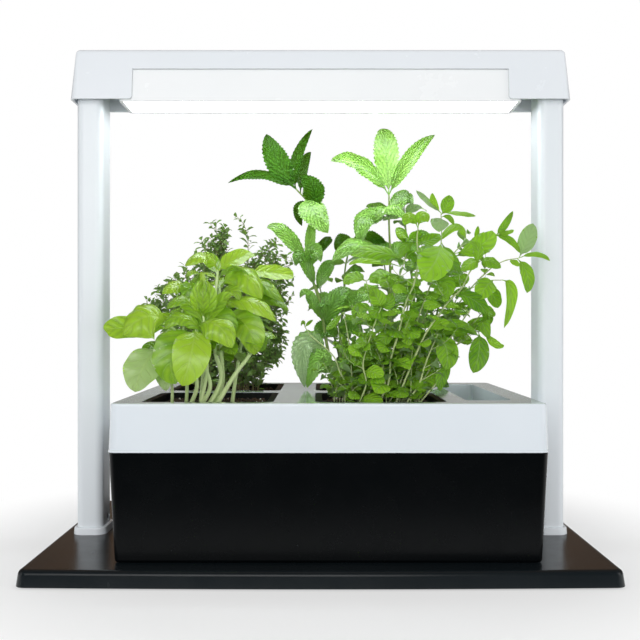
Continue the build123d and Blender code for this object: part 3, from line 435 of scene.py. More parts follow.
def blade(form, foot, crown, tip, width, facing, cup, tone, dice):
    """One leaf as a thin closed shell. Its midrib starts at foot, passes crown half way and ends
    at tip; its upper side looks towards facing, and cup raises its sides, or lowers them."""
    f = FORMS[form]
    foot, crown, tip = (np.array(p, dtype=float) for p in (foot, crown, tip))
    bend = 2 * crown - (foot + tip) / 2
    t = np.linspace(0, 1, f["rows"] + 1)[:, None]
    line = (1 - t) ** 2 * foot + 2 * t * (1 - t) * bend + t ** 2 * tip
    along = unit(2 * (1 - t) * (bend - foot) + 2 * t * (tip - bend))
    sideways = unit(np.cross(along, np.array(facing, dtype=float)))
    up = np.cross(sideways, along)
    turn = (t - 0.4) * dice.uniform(-0.5, 0.5)
    sideways, up = (sideways * np.cos(turn) + up * np.sin(turn),
                    up * np.cos(turn) - sideways * np.sin(turn))
    share = np.clip((t - f["stalk"]) / (1 - f["stalk"]), 0, 1)
    widest = f["rise"] / (f["rise"] + f["fall"])
    outline = share ** f["rise"] * (1 - share) ** f["fall"]
    outline /= widest ** f["rise"] * (1 - widest) ** f["fall"]
    outline[1::2] *= 1 - f["bite"]
    half = np.maximum(outline * width / 2, f["stalk_radius"] * (1 - 0.8 * t))
    v = np.linspace(-1, 1, f["columns"] + 1)[None, :]
    angle = cup * v if abs(cup) > FLAT else FLAT * v
    bow = max(abs(cup), FLAT)
    out = half * np.sin(np.abs(angle)) / bow * np.sign(v)
    lift = half * (1 - np.cos(angle)) / bow * np.sign(cup if cup else 1)
    phase, turns = dice.uniform(0, FULL_TURN), dice.uniform(1.6, 3.2)
    ripple = np.sin(turns * FULL_TURN * share + phase + 1.5 * np.sign(v)) * v ** 2
    lift = lift + half * f["wave"] * ripple
    between = np.sin(np.pi * np.mod((share - f["slant"] * np.abs(v) / 2) * f["pairs"], 1.0))
    lift = lift + half * f["quilt"] * between * np.sqrt(np.abs(v)) * (1 - v ** 2)
    top = (line[:, None, :] + sideways[:, None, :] * out[..., None]
           + up[:, None, :] * lift[..., None])
    thick = np.where(share > 0, f["thick"], 1.6 * f["stalk_radius"]) * (1 - v ** 4)
    low = top - up[:, None, :] * thick[..., None]
    points = np.concatenate([top.reshape(-1, 3), low[1:-1, 1:-1].reshape(-1, 3)])
    rows, columns = f["rows"], f["columns"]
    upper = np.arange((rows + 1) * (columns + 1)).reshape(rows + 1, columns + 1)
    lower = upper.copy()
    lower[1:-1, 1:-1] = upper.size + np.arange((rows - 1) * (columns - 1)).reshape(rows - 1, -1)
    u = np.repeat(share, columns + 1, axis=1)
    chart = np.stack([u, np.where(u > 0, (v + 1) / 2 + 0 * u, 0.5)], axis=-1)
    chart = np.concatenate([chart.reshape(-1, 2), chart[1:-1, 1:-1].reshape(-1, 2)])
    quads = []
    for grid, order in ((upper, (0, 1, 2, 3)), (lower, (3, 2, 1, 0))):
        corners = (grid[:-1, :-1], grid[:-1, 1:], grid[1:, 1:], grid[1:, :-1])
        quads.append(np.stack([corners[i].ravel() for i in order], axis=-1))
    under = np.repeat([0.0, 1.0], len(quads[0]))
    return points, np.concatenate(quads), chart, under, tone


def smooth_line(points, steps=8):
    """A curve through all of the points, as many short runs."""
    p = np.array(points, dtype=float)
    p = np.concatenate([[2 * p[0] - p[1]], p, [2 * p[-1] - p[-2]]])
    t = np.linspace(0, 1, steps, endpoint=False)[:, None]
    made = []
    for a, b, c, d in zip(p, p[1:], p[2:], p[3:]):
        made.append(0.5 * (2 * b + (c - a) * t + (2 * a - 5 * b + 4 * c - d) * t ** 2
                           + (3 * b - a - 3 * c + d) * t ** 3))
    made.append(p[-2:-1])
    return np.concatenate(made)


def on_line(line, share):
    """The point at a share of a line's length."""
    runs = np.linalg.norm(np.diff(line, axis=0), axis=1)
    far = np.concatenate([[0], np.cumsum(runs)])
    return np.array([np.interp(share * far[-1], far, line[:, i]) for i in range(3)])


def stem(line, radius, sides=8, knots=()):
    """A stem that thins to 45% at its tip, a little thicker where leaves leave it."""
    along = unit(np.gradient(line, axis=0))
    sideways = unit(np.cross(along, (0.1, 1.0, 0.05)))
    other = np.cross(along, sideways)
    share = np.linspace(0, 1, len(line))
    size = radius * (1 - 0.55 * share)
    for knot in knots:
        size = size * (1 + 0.3 * np.exp(-((share - knot) / 0.025) ** 2))
    turn = np.linspace(0, 2 * np.pi, sides, endpoint=False)
    rings = (line[:, None, :] + sideways[:, None, :] * (np.cos(turn) * size[:, None])[..., None]
             + other[:, None, :] * (np.sin(turn) * size[:, None])[..., None])
    points = np.concatenate([rings.reshape(-1, 3), line[:1],
                             line[-1:] + along[-1:] * radius * 0.4])
    grid = np.arange(len(line) * sides).reshape(len(line), sides)
    nxt = np.roll(grid, -1, axis=1)
    quads = np.stack([part.ravel() for part in (grid[:-1], nxt[:-1], nxt[1:], grid[1:])], axis=-1)
    ends = [(grid[0, (i + 1) % sides], grid[0, i], len(points) - 2) for i in range(sides)]
    ends += [(grid[-1, i], grid[-1, (i + 1) % sides], len(points) - 1) for i in range(sides)]
    return points, quads, ends


def mesh_of(name, leaves, stems=(), materials=()):
    """One object from leaf shells and stems. The leaves wear the first material and the stems
    the second."""
    points, faces, chart, under, tone, slots = [], [], [], [], [], []
    count = 0
    for flat, quads, uv, low, shade_of in leaves:
        points.append(flat)
        faces += (quads + count).tolist()
        chart.append(uv[quads].reshape(-1, 2))
        under.append(low)
        tone.append(np.full(len(flat), shade_of))
        slots += [0] * len(quads)
        count += len(flat)
    for flat, quads, ends in stems:
        points.append(flat)
        faces += (quads + count).tolist() + [[i + count for i in end] for end in ends]
        chart.append(np.zeros((len(quads) * 4 + len(ends) * 3, 2)))
        under.append(np.zeros(len(quads) + len(ends)))
        tone.append(np.zeros(len(flat)))
        slots += [1] * (len(quads) + len(ends))
        count += len(flat)
    mesh = bpy.data.meshes.new(name)
    mesh.from_pydata(np.concatenate(points).tolist(), [], faces)
    mesh.uv_layers.new(name="leaf").data.foreach_set("uv", np.concatenate(chart).ravel())
    for field, domain, values in (("under", "FACE", under), ("tone", "POINT", tone)):
        made = mesh.attributes.new(field, "FLOAT", domain)
        made.data.foreach_set("value", np.concatenate(values))
    for material in materials:
        mesh.materials.append(material)
    mesh.polygons.foreach_set("material_index", slots)
    mesh.polygons.foreach_set("use_smooth", [True] * len(mesh.polygons))
    mesh.validate()
    mesh.set_sharp_from_angle(angle=math.radians(80))
    return new_object(name, mesh)


# What Geometry Nodes repeat: sprigs with pairs of leaves, and crumbs

def new_group(name, sockets):
    """A Geometry Nodes group, the identifiers of its named inputs, and what adds a node."""
    tree = bpy.data.node_groups.new(name, "GeometryNodeTree")
    ids = {}
    for label, kind in sockets.items():
        ids[label] = tree.interface.new_socket(label, in_out="INPUT",
                                               socket_type="NodeSocket" + kind).identifier
    tree.interface.new_socket("Made", in_out="OUTPUT", socket_type="NodeSocketGeometry")
    return tree, ids, partial(add_node, tree)


def run_group(group, source, values):
    """The plain mesh that a group makes of an object."""
    tree, ids = group
    run = source.modifiers.new(tree.name, "NODES")
    run.node_group = tree
    for label, value in values.items():
        run[ids[label]] = value
    state = source.evaluated_get(bpy.context.evaluated_depsgraph_get())
    mesh = bpy.data.meshes.new_from_object(state)
    source.modifiers.remove(run)
    return mesh


def sprig_group():
    """Stems along curves, with a pair of leaves at every node of each stem. Each pair stands
    across the one below it, and the pairs get smaller towards the tip."""
    tree, ids, add = new_group("herb_sprigs", {
        "Stems": "Geometry", "Leaf pair": "Object", "Spacing": "Float", "Leaf size": "Float",
        "Tip size": "Float", "Bare share": "Float", "Stem radius": "Float", "Seed": "Int",
        "Leaf finish": "Material", "Stem finish": "Material"})
    given = add("NodeGroupInput").outputs
    along = add("GeometryNodeSplineParameter").outputs
    thinning = add("ShaderNodeMath", {
        0: along["Factor"], 1: -0.6, 2: 1.0}, operation="MULTIPLY_ADD")
    radius = add("ShaderNodeMath", {0: thinning, 1: given["Stem radius"]}, operation="MULTIPLY")
    ring = add("GeometryNodeCurvePrimitiveCircle", {"Resolution": 6, "Radius": 1.0})
    tubes = add("GeometryNodeCurveToMesh", {
        "Curve": given["Stems"], "Profile Curve": ring, "Scale": radius, "Fill Caps": True})
    stems = add("GeometryNodeSetMaterial", {"Geometry": tubes, "Material": given["Stem finish"]})
    knots = add("GeometryNodeResampleCurve", {
        "Curve": given["Stems"], "Length": given["Spacing"]}, mode="LENGTH")
    tangent = add("GeometryNodeInputTangent")
    stand = add("FunctionNodeAlignRotationToVector", {"Vector": tangent}, axis="Z")
    index = add("GeometryNodeInputIndex")
    sway, growth, young = [
        add("FunctionNodeRandomValue", {2: low, 3: high, "Seed": given["Seed"], "ID": index})
        for low, high in ((-0.5, 0.5), (0.7, 1.2), (0.0, 1.0))]
    quarter = add("ShaderNodeMath", {
        0: along["Index"], 1: math.pi / 2, 2: sway}, operation="MULTIPLY_ADD")
    spin = add("FunctionNodeAxisAngleToRotation", {"Axis": (0, 0, 1), "Angle": quarter})
    tilt = add("FunctionNodeRandomValue", {
        0: (-0.7, -0.4, 0.0), 1: (0.7, 0.4, 0.0), "Seed": given["Seed"]}, data_type="FLOAT_VECTOR")
    turned = stand
    for turn in (spin, tilt):
        turned = add("FunctionNodeRotateRotation", {
            "Rotation": turned, "Rotate By": turn}, rotation_space="LOCAL")
    scale = add("ShaderNodeMapRange", {
        "Value": along["Factor"], "To Min": 1.0, "To Max": given["Tip size"]})
    for factor in (growth, given["Leaf size"]):
        scale = add("ShaderNodeMath", {0: scale, 1: factor}, operation="MULTIPLY")
    leafy = add("FunctionNodeCompare", {
        0: along["Factor"], 1: given["Bare share"]}, operation="GREATER_THAN")
    pair = add("GeometryNodeObjectInfo", {"Object": given["Leaf pair"]})
    placed = add("GeometryNodeInstanceOnPoints", {
        "Points": knots, "Selection": leafy, "Instance": pair.outputs["Geometry"],
        "Rotation": turned, "Scale": scale})
    toned = add("GeometryNodeStoreNamedAttribute", {
        "Geometry": placed, "Name": "tone", "Value": young}, domain="INSTANCE", data_type="FLOAT")
    real = add("GeometryNodeRealizeInstances", {"Geometry": toned})
    leaves = add("GeometryNodeSetMaterial", {"Geometry": real, "Material": given["Leaf finish"]})
    joined = add("GeometryNodeJoinGeometry")
    for part in (leaves, stems):
        tree.links.new(part.outputs[0], joined.inputs[0])
    smooth = add("GeometryNodeSetShadeSmooth", {"Geometry": joined})
    add("NodeGroupOutput", {0: smooth})
    return tree, ids


def crumb_group():
    """Crumbs scattered over a surface, each a lumpy ball of its own size and turn."""
    tree, ids, add = new_group("scattered_crumbs", {
        "Surface": "Geometry", "Density": "Float", "Smallest": "Float", "Largest": "Float",
        "Seed": "Int", "Finish": "Material"})
    given = add("NodeGroupInput").outputs
    spots = add("GeometryNodeDistributePointsOnFaces", {
        "Mesh": given["Surface"], "Density": given["Density"], "Seed": given["Seed"]})
    ball = add("GeometryNodeMeshIcoSphere", {"Radius": 1.0, "Subdivisions": 2})
    lumps = add("ShaderNodeTexNoise", {"Scale": 1.1})
    normal = add("GeometryNodeInputNormal")
    swell = add("ShaderNodeVectorMath", {0: normal, "Scale": lumps}, operation="SCALE")
    lumpy = add("GeometryNodeSetPosition", {"Geometry": ball, "Offset": swell})
    size = add("FunctionNodeRandomValue", {
        2: given["Smallest"], 3: given["Largest"], "Seed": given["Seed"]})
    turn, flat = [
        add("FunctionNodeRandomValue", {0: low, 1: high, "Seed": given["Seed"]},
            data_type="FLOAT_VECTOR")
        for low, high in (((0, 0, 0), (FULL_TURN,) * 3), ((0.6, 0.6, 0.35), (1.3, 1.1, 0.8)))]
    scale = add("ShaderNodeVectorMath", {0: flat, "Scale": size}, operation="SCALE")
    placed = add("GeometryNodeInstanceOnPoints", {
        "Points": spots, "Instance": lumpy, "Rotation": turn, "Scale": scale})
    real = add("GeometryNodeRealizeInstances", {"Geometry": placed})
    finished = add("GeometryNodeSetMaterial", {"Geometry": real, "Material": given["Finish"]})
    add("NodeGroupOutput", {0: finished})
    return tree, ids


SPRIGS = sprig_group()
CRUMBS = crumb_group()


def leaf_pair(name, form, length, width, droop):
    """Two leaves opposite each other on a stem that runs up Z."""
    dice = random.Random(name)
    shells = []
    for way in (-1, 1):
        crown = (way * length * 0.5, 0, length * (0.32 - droop * 0.2))
        tip = (way * length * 0.92, 0, length * (0.38 - droop))
        shells.append(blade(form, (0, 0, 0), crown, tip, width, (-way * 0.3, 0, 1), 0.3, 0.5,
                            dice))
    return mesh_of(name, shells)


def sprigs(name, lines, values):
    """Runs the sprig group over the lines and returns its plain mesh object."""
    curve = bpy.data.curves.new(name, "CURVE")
    curve.dimensions = "3D"
    for line in lines:
        spline = curve.splines.new("POLY")
        spline.points.add(len(line) - 1)
        spline.points.foreach_set("co", np.column_stack([line, np.ones(len(line))]).ravel())
    source = new_object(name + "_source", curve)
    mesh = run_group(SPRIGS, source, values)
    bpy.data.objects.remove(source)
    return new_object(name, mesh)


# The four herbs

# Millimetres from the middle of the frame.
POT_MIDDLES = {"front_left": (-116, -69), "back_left": (-116, 93),
               "front_right": (62, -69), "back_right": (62, 93)}
SOIL_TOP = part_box("soil_front_left")[1][2]
ROOT_DEPTH = 0.004         # how far a stem reaches into the soil, in metres


def numbers(table):
    """The rows of a table, each as a list of numbers."""
    return [[float(word) for word in row.split()] for row in table.strip().splitlines()]


def stem_lines(pot, table):
    """The lines of a pot's stems. A row is a stem's root in the pot, x and y in millimetres, and
    then the points it passes, each as pixel, pixel row and depth."""
    x, y = POT_MIDDLES[pot]
    made = []
    for row in numbers(table):
        foot = ((x + row[0]) / 1000, (y + row[1]) / 1000, SOIL_TOP - ROOT_DEPTH)
        made.append(smooth_line([foot] + [seen(*row[i:i + 3]) for i in range(2, len(row), 3)]))
    return made


def plant_leaves(form, lines, table, dice):
    """Leaves at their places in the photograph. A row is the stem's number and the share of the
    stem at which the leaf leaves it, its crown, its tip, its width in pixels, the way it faces,
    and its cup and tone."""
    made = []
    for row in numbers(table):
        number, share, width, cup, tone = int(row[0]), row[1], row[8], row[12], row[13]
        crown, tip, facing = seen(*row[2:5]), seen(*row[5:8]), row[9:12]
        scale = (crown.y - EYE_Y) / FOCAL_PIXELS
        foot = on_line(lines[number], share)
        made.append(blade(form, foot, crown, tip, width * scale, facing, cup, tone, dice))
    return made


def filler_leaves(form, lines, shares, length, width, dice, tone=(0.1, 0.6)):
    """Pairs of leaves on the stems, each pair across the one below it."""
    made = []
    for line in lines:
        turn = dice.uniform(0, 3.14)
        for share in shares:
            foot = on_line(line, share + dice.uniform(-0.03, 0.03))
            turn += math.pi / 2 + dice.uniform(-0.35, 0.35)
            for half in (0, math.pi):
                if dice.random() < 0.12:
                    continue
                away = np.array([math.cos(turn + half), math.sin(turn + half), 0])
                reach = length * dice.uniform(0.7, 1.15) * (1.1 - 0.35 * share)
                lift = dice.uniform(-0.05, 0.45)
                crown = foot + away * reach * 0.5 + np.array([0, 0, reach * lift])
                tip = foot + away * reach * 0.95 + np.array([0, 0, reach * (lift - 0.2)])
                facing = np.array([dice.uniform(-0.45, 0.45), dice.uniform(-1.1, 0.15), 0.8])
                made.append(blade(form, foot, crown, tip, reach * width, facing,
                                  dice.uniform(-0.4, 0.5), dice.uniform(*tone), dice))
    return made


def low_shoot(pot, place, lean):
    """The line of a young shoot: its place in the pot, and how far it leans and rises, both in
    millimetres."""
    x, y = POT_MIDDLES[pot]
    foot = np.array([x + place[0], y + place[1], SOIL_TOP * 1000 - 2])
    middle = foot + np.array(lean) * (0.3, 0.3, 0.6)
    return smooth_line([foot / 1000, middle / 1000, (foot + np.array(lean)) / 1000], 5)


def side_shoots(lines, shares, reach_at, flatness, sag, dice):
    """Lines of short shoots that leave the stems at the given shares, each its own way."""
    made = []
    for line in lines:
        for share in shares:
            foot = on_line(line, share)
            reach = reach_at(share)
            turn = dice.uniform(0, FULL_TURN)
            ahead, aside = math.cos(turn), math.sin(turn)
            tip = foot + np.array([ahead * reach, aside * reach * flatness, reach * 0.8])
            bend = (foot + tip) / 2 + np.array([ahead, aside, -sag]) * 0.003
            made.append(smooth_line([foot, bend, tip], 4))
    return made


def kept(points, room):
    """Bends whatever would leave a plant's room back inside it, from 10 mm before the wall."""
    edge = 0.010
    for axis, (low, high) in enumerate(room):
        place = points[:, axis]
        over = place - (high - edge)
        place = np.where(over > 0, high - edge + edge * np.tanh(over / edge), place)
        below = (low + edge) - place
        points[:, axis] = np.where(below > 0, low + edge - edge * np.tanh(below / edge), place)
    return points


def fit(made, node, body, room):
    """Keeps a herb's piece in its room and puts it on its body in the node's place."""
    points = np.empty(len(made.data.vertices) * 3)
    made.data.vertices.foreach_get("co", points)
    made.data.vertices.foreach_set("co", kept(points.reshape(-1, 3), room).ravel())
    made.data.update()
    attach(made, body)
    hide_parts(node)


# Basil, front left

basil_lines = stem_lines("front_left", """
-6 -30  221 380 -92  215 350 -92  214 318 -90  216 290 -88  218 271 -85
-2 -22  222 385 -82  221 350 -80  221 322 -78  219 304 -76  220 287 -74
2 -30  234 376 -95  250 354 -92  256 336 -88  250 318 -84
-14 -34  210 388 -112  205 366 -120  200 345 -126  196 328 -132
-24 -32  197 386 -115  192 366 -122  184 345 -130  176 331 -136  167 324 -138
-42 -28  172 386 -110  167 368 -116  162 354 -120  158 347 -122
-30 -8  187 382 -82  184 340 -82  183 310 -80  185 291 -78
18 8  236 376 -52  241 345 -46  246 305 -40  250 271 -36
-18 18  205 350 -42  205 310 -38  206 280 -34
-12 -38  207 372 -118  205 345 -128  204 322 -134  203 316 -136
""")
dice = random.Random(11)
basil_leaves = plant_leaves("basil", basil_lines, """
4 1  147 316 -154  123 335 -158  54  -.05 -.84 .54  -.85 .85
4 .93  124 328 -140  105 331 -142  27  0 -.85 .5  .3 .7
5 1  143 368 -138  135 392 -144  40  .15 .95 -.25  -.25 1
5 .8  152 347 -118  144 354 -120  17  0 -.5 .85  .3 .15
5 .6  165 372 -122  166 391 -126  22  -.2 .95 -.1  -.2 .45
3 .98  173 354 -154  176 384 -154  42  -.15 -.95 .25  .4 .35
3 1  191 354 -164  182 386 -166  40  .12 -.96 .25  .4 1
3 1  216 324 -148  232 348 -152  36  .2 -.75 .6  -.75 .72
3 .95  216 316 -122  237 330 -126  26  0 -.85 .5  .5 .3
1 .86  250 300 -100  276 321 -104  28  .2 -.62 .78  -.7 .9
1 .74  246 326 -104  254 355 -106  33  .15 -.95 .25  .4 .6
2 1  259 337 -80  262 352 -78  18  .5 -.8 .1  .3 .25
1 1  243 274 -84  262 299 -88  42  .1 -.75 .65  -.8 .8
1 .94  231 290 -96  240 300 -98  15  0 -.7 .6  .5 .6
7 1  272 273 -36  300 276 -34  21  0 -.75 .7  .35 .85
7 .9  262 284 -52  284 302 -48  20  .15 -.7 .75  -.3 .35
7 .75  268 300 -46  289 311 -42  18  .1 -.7 .7  .3 .3
0 1  203 255 -98  185 266 -106  27  -.1 -.65 .8  -.7 .9
0 1  237 259 -84  255 256 -84  26  .1 -.7 .7  .3 .95
0 .97  212 262 -70  204 252 -62  16  0 -.5 .8  .3 .5
6 1  174 286 -84  162 294 -88  22  -.2 -.75 .65  -.4 .95
6 .9  189 288 -92  183 302 -96  18  .2 -.9 .4  .3 .3
9 1  197 299 -142  202 280 -140  16  -.7 -.68 .2  .9 .62
9 1  210 299 -142  205 280 -140  16  .7 -.68 .2  .9 .55
9 1  203 284 -138  201 272 -136  6  .1 -1 .1  .4 1
9 1  203 302 -148  203 287 -147  14  0 -1 .1  .8 .5
9 .9  185 301 -134  167 309 -140  20  0 -.7 .75  -.45 .4
9 .82  183 317 -144  165 328 -150  21  -.1 -.75 .7  -.5 .4
9 .9  220 303 -130  232 296 -134  18  .1 -.7 .7  .4 .5
4 .75  177 342 -118  168 348 -112  22  0 -.6 .8  .2 .1
3 .6  196 345 -105  188 352 -100  22  0 -.6 .8  .2 .1
""", dice)
for picked, shares, length, width, tone in (
        ((0, 6, 7, 8), (0.42, 0.55, 0.68, 0.8, 0.92), 0.046, 0.66, (0.1, 0.75)),
        ((8, 6), (1.0,), 0.034, 0.6, (0.1, 0.6)),
        ((1, 2), (0.6, 0.8), 0.036, 0.66, (0.1, 0.6))):
    basil_leaves += filler_leaves("basil", [basil_lines[i] for i in picked], shares, length,
                                  width, dice, tone)
basil_radii = (0.0028, 0.0029, 0.0028, 0.0026, 0.0024, 0.0019, 0.0022, 0.0024, 0.0022, 0.0021)
basil_stems = [stem(line, radius, knots=(0.55, 0.75, 0.9))
               for line, radius in zip(basil_lines, basil_radii)]
fit(mesh_of("basil_foliage", basil_leaves, basil_stems, (BASIL_LEAF, BASIL_STEM)),
    "basil_plant", "pot_front_left", ((-0.248, -0.0295), (-0.168, 0.009), (0.1, 0.505)))

# Mint, back right

mint_lines = stem_lines("back_right", """
18 -22  389 350 76  390 300 74  390 254 72  389 222 70  389 195 70
-40 -36  326 340 62  321 305 60  312 278 60  306 250 60  312 220 60  309 204 60  296 189 60
-30 10  340 345 104  344 300 110  345 270 112  350 246 112
28 8  414 340 104  413 290 104  408 250 102  405 222 98  404 208 96
-22 -14  346 360 80  340 335 78  337 308 76
42 24  432 330 122  442 285 122  446 252 120
6 36  392 330 138  388 290 142  384 262 142
-34 34  338 350 132  326 315 130  320 288 128
44 -14  436 350 84  448 320 84  456 300 84
""")
dice = random.Random(23)
# The rows with a negative tone paint those leaves in shade: the tops of stems 1 and 2.
mint_leaves = plant_leaves("mint", mint_lines, """
0 1  360 161 62  331 161 58  27  -.1 -.68 .7  -.5 .72
0 1  386 151 72  384 125 76  27  0 -1 .1  .2 1
0 1  409 159 74  435 135 76  18  .5 -.5 .5  .8 .95
0 .88  392 205 44  408 219 38  30  0 -.55 .85  -.7 .85
0 .88  384 207 46  375 221 42  20  0 -.65 .75  -.6 .8
0 .88  366 217 60  361 245 54  26  -.35 -.85 .45  -.3 .6
0 .9  400 199 82  409 192 84  17  .1 -.8 .5  .2 .5
0 .9  377 207 90  366 207 96  16  -.1 -.6 .8  .2 .3
0 .66  361 243 48  332 262 42  28  -.1 -.7 .7  -.55 .7
0 .66  404 246 84  424 253 88  24  .2 -.6 .8  -.3 .5
0 .68  380 246 100  372 238 112  24  0 -.5 .9  .2 .2
0 .45  372 292 52  356 303 46  28  -.1 -.7 .7  -.4 .55
0 .45  406 290 88  424 294 92  26  .1 -.6 .8  -.2 .35
1 1  262 173 60  228 183 58  20  0 -.66 .76  -.4 -.6
1 1  277 161 62  266.5 134 64  26  -.1 -1 .1  .2 -.4
1 1  296 160 64  312.5 128.5 66  13  .4 -.8 .2  .4 -.55
1 .97  303 167 68  311 152 70  12  .3 -.9 .2  .2 -.8
1 .88  313 190 54  300 177 52  24  -.15 -.95 .3  .3 -.45
1 .86  318 191 62  320 183 64  14  .3 -.9 .3  .2 -.3
1 .94  314 212 46  328 233 40  31  .1 -.85 .5  -.25 .75
1 .9  299 209 64  302 226 64  14  -.5 -.85 .2  .2 -.8
1 .62  285 233 58  267 228 56  18  -.2 -.75 .65  -.3 .78
1 .6  310 236 54  315 217 54  12  .3 -.9 .3  .5 1
1 .6  314 251 50  321 262 48  20  .3 -.9 .3  .2 .62
1 .64  325 243 72  331 238 76  12  0 -.8 .5  .2 -.8
1 .5  302 258 50  296 266 48  18  0 -.7 .75  .3 .4
1 .5  327 268 66  336 262 68  16  .1 -.7 .7  .2 .3
1 .34  309 294 50  300 298 48  14  0 -.75 .7  -.3 .6
1 .34  336 300 52  352 290 48  25  .1 -.75 .6  .2 .35
1 .22  305 346 44  305 388 41  28  .35 .95 -.1  -.6 1
1 .14  319 360 46  307 388 43  24  .2 -.92 .4  .3 1
2 1  344 241 104  335 250 100  20  0 -.8 .5  .2 -.7
2 1  368 238 108  386 245 106  20  0 -.7 .6  .2 -.5
2 .8  352 268 100  365 272 96  22  .1 -.6 .8  -.2 .2
4 1  350 298 60  364 301 56  26  .1 -.8 .6  -.2 .55
4 1  325 300 62  312 309 58  24  -.1 -.75 .7  .2 .35
4 .7  350 325 64  360 336 60  26  .1 -.85 .5  -.2 .25
4 .7  327 328 66  315 338 62  24  -.1 -.8 .6  .2 .2
3 1  406 198 92  413 205 88  16  .1 -.8 .6  .3 .45
3 .8  421 236 92  432 246 90  20  .1 -.8 .6  -.2 .3
""", dice)
mint_leaves += filler_leaves("mint", [mint_lines[i] for i in (2, 3, 5, 6, 7, 8)],
                             (0.16, 0.28, 0.4, 0.52, 0.64, 0.76, 0.88, 0.97), 0.042, 0.58, dice,
                             (0.1, 0.75))
mint_leaves += filler_leaves("mint", [mint_lines[i] for i in (0, 4)], (0.14, 0.25, 0.36), 0.036,
                             0.58, dice)
mint_radii = (0.0021, 0.0021, 0.0018, 0.0018, 0.0017, 0.0018, 0.0018, 0.0017, 0.0016)
mint_stems = [stem(line, radius, knots=(0.34, 0.62, 0.85))
              for line, radius in zip(mint_lines, mint_radii)]
fit(mesh_of("mint_foliage", mint_leaves, mint_stems, (MINT_LEAF, MINT_STEM)),
    "mint_plant", "pot_back_right", ((-0.13, 0.248), (0.037, 0.182), (0.1, 0.505)))

# Oregano, front right

oregano_lines = stem_lines("front_right", """
-6 -36  388 384 -106  391 358 -108  398 335 -110  406 303 -110  414 284 -108  418 262 -106  \
  417 240 -104  418 228 -102
6 -28  402 378 -98  410 345 -94  421 310 -90  433 278 -88  441 244 -86  441 213 -86
14 -34  406 378 -106  417 352 -110  428 330 -112  449 301 -112  461 289 -112  471 270 -110  \
  480 261 -108
22 -36  418 386 -104  424 368 -106  430 352 -108  438 334 -108
10 -14  404 375 -84  420 330 -80  438 286 -76  454 253 -73  474 240 -72  496 235 -72
22 -8  420 370 -76  441 330 -74  466 294 -70  489 270 -68  504 261 -66  519 258 -66
28 -20  426 375 -90  446 345 -90  463 320 -88  478 298 -88  488 282 -88  502 280 -88
32 -4  430 375 -72  451 350 -70  470 334 -68  484 331 -66
-26 -40  366 385 -114  363 366 -116  366 350 -116  371 335 -114  376 320 -112  381 308 -110
-18 -28  374 380 -100  381 350 -98  389 312 -95  397 286 -92  404 262 -90  409 244 -88
-36 -22  345 384 -92  340 372 -94  334 357 -96  322 345 -98  311 336 -98  305 327 -98
-28 -10  352 380 -80  350 350 -80  346 325 -80  343 312 -80
-8 -4  382 370 -70  378 330 -68  370 300 -66  366 280 -66
8 10  396 365 -56  404 325 -54  412 290 -52  424 262 -50
22 14  416 365 -52  434 325 -50  452 290 -48  462 266 -48
-20 16  366 365 -52  360 330 -50  352 305 -48
34 12  430 365 -54  456 340 -52  476 320 -50  486 306 -50
36 -30  436 384 -98  446 376 -98  452 364 -98
""")
dice = random.Random(37)
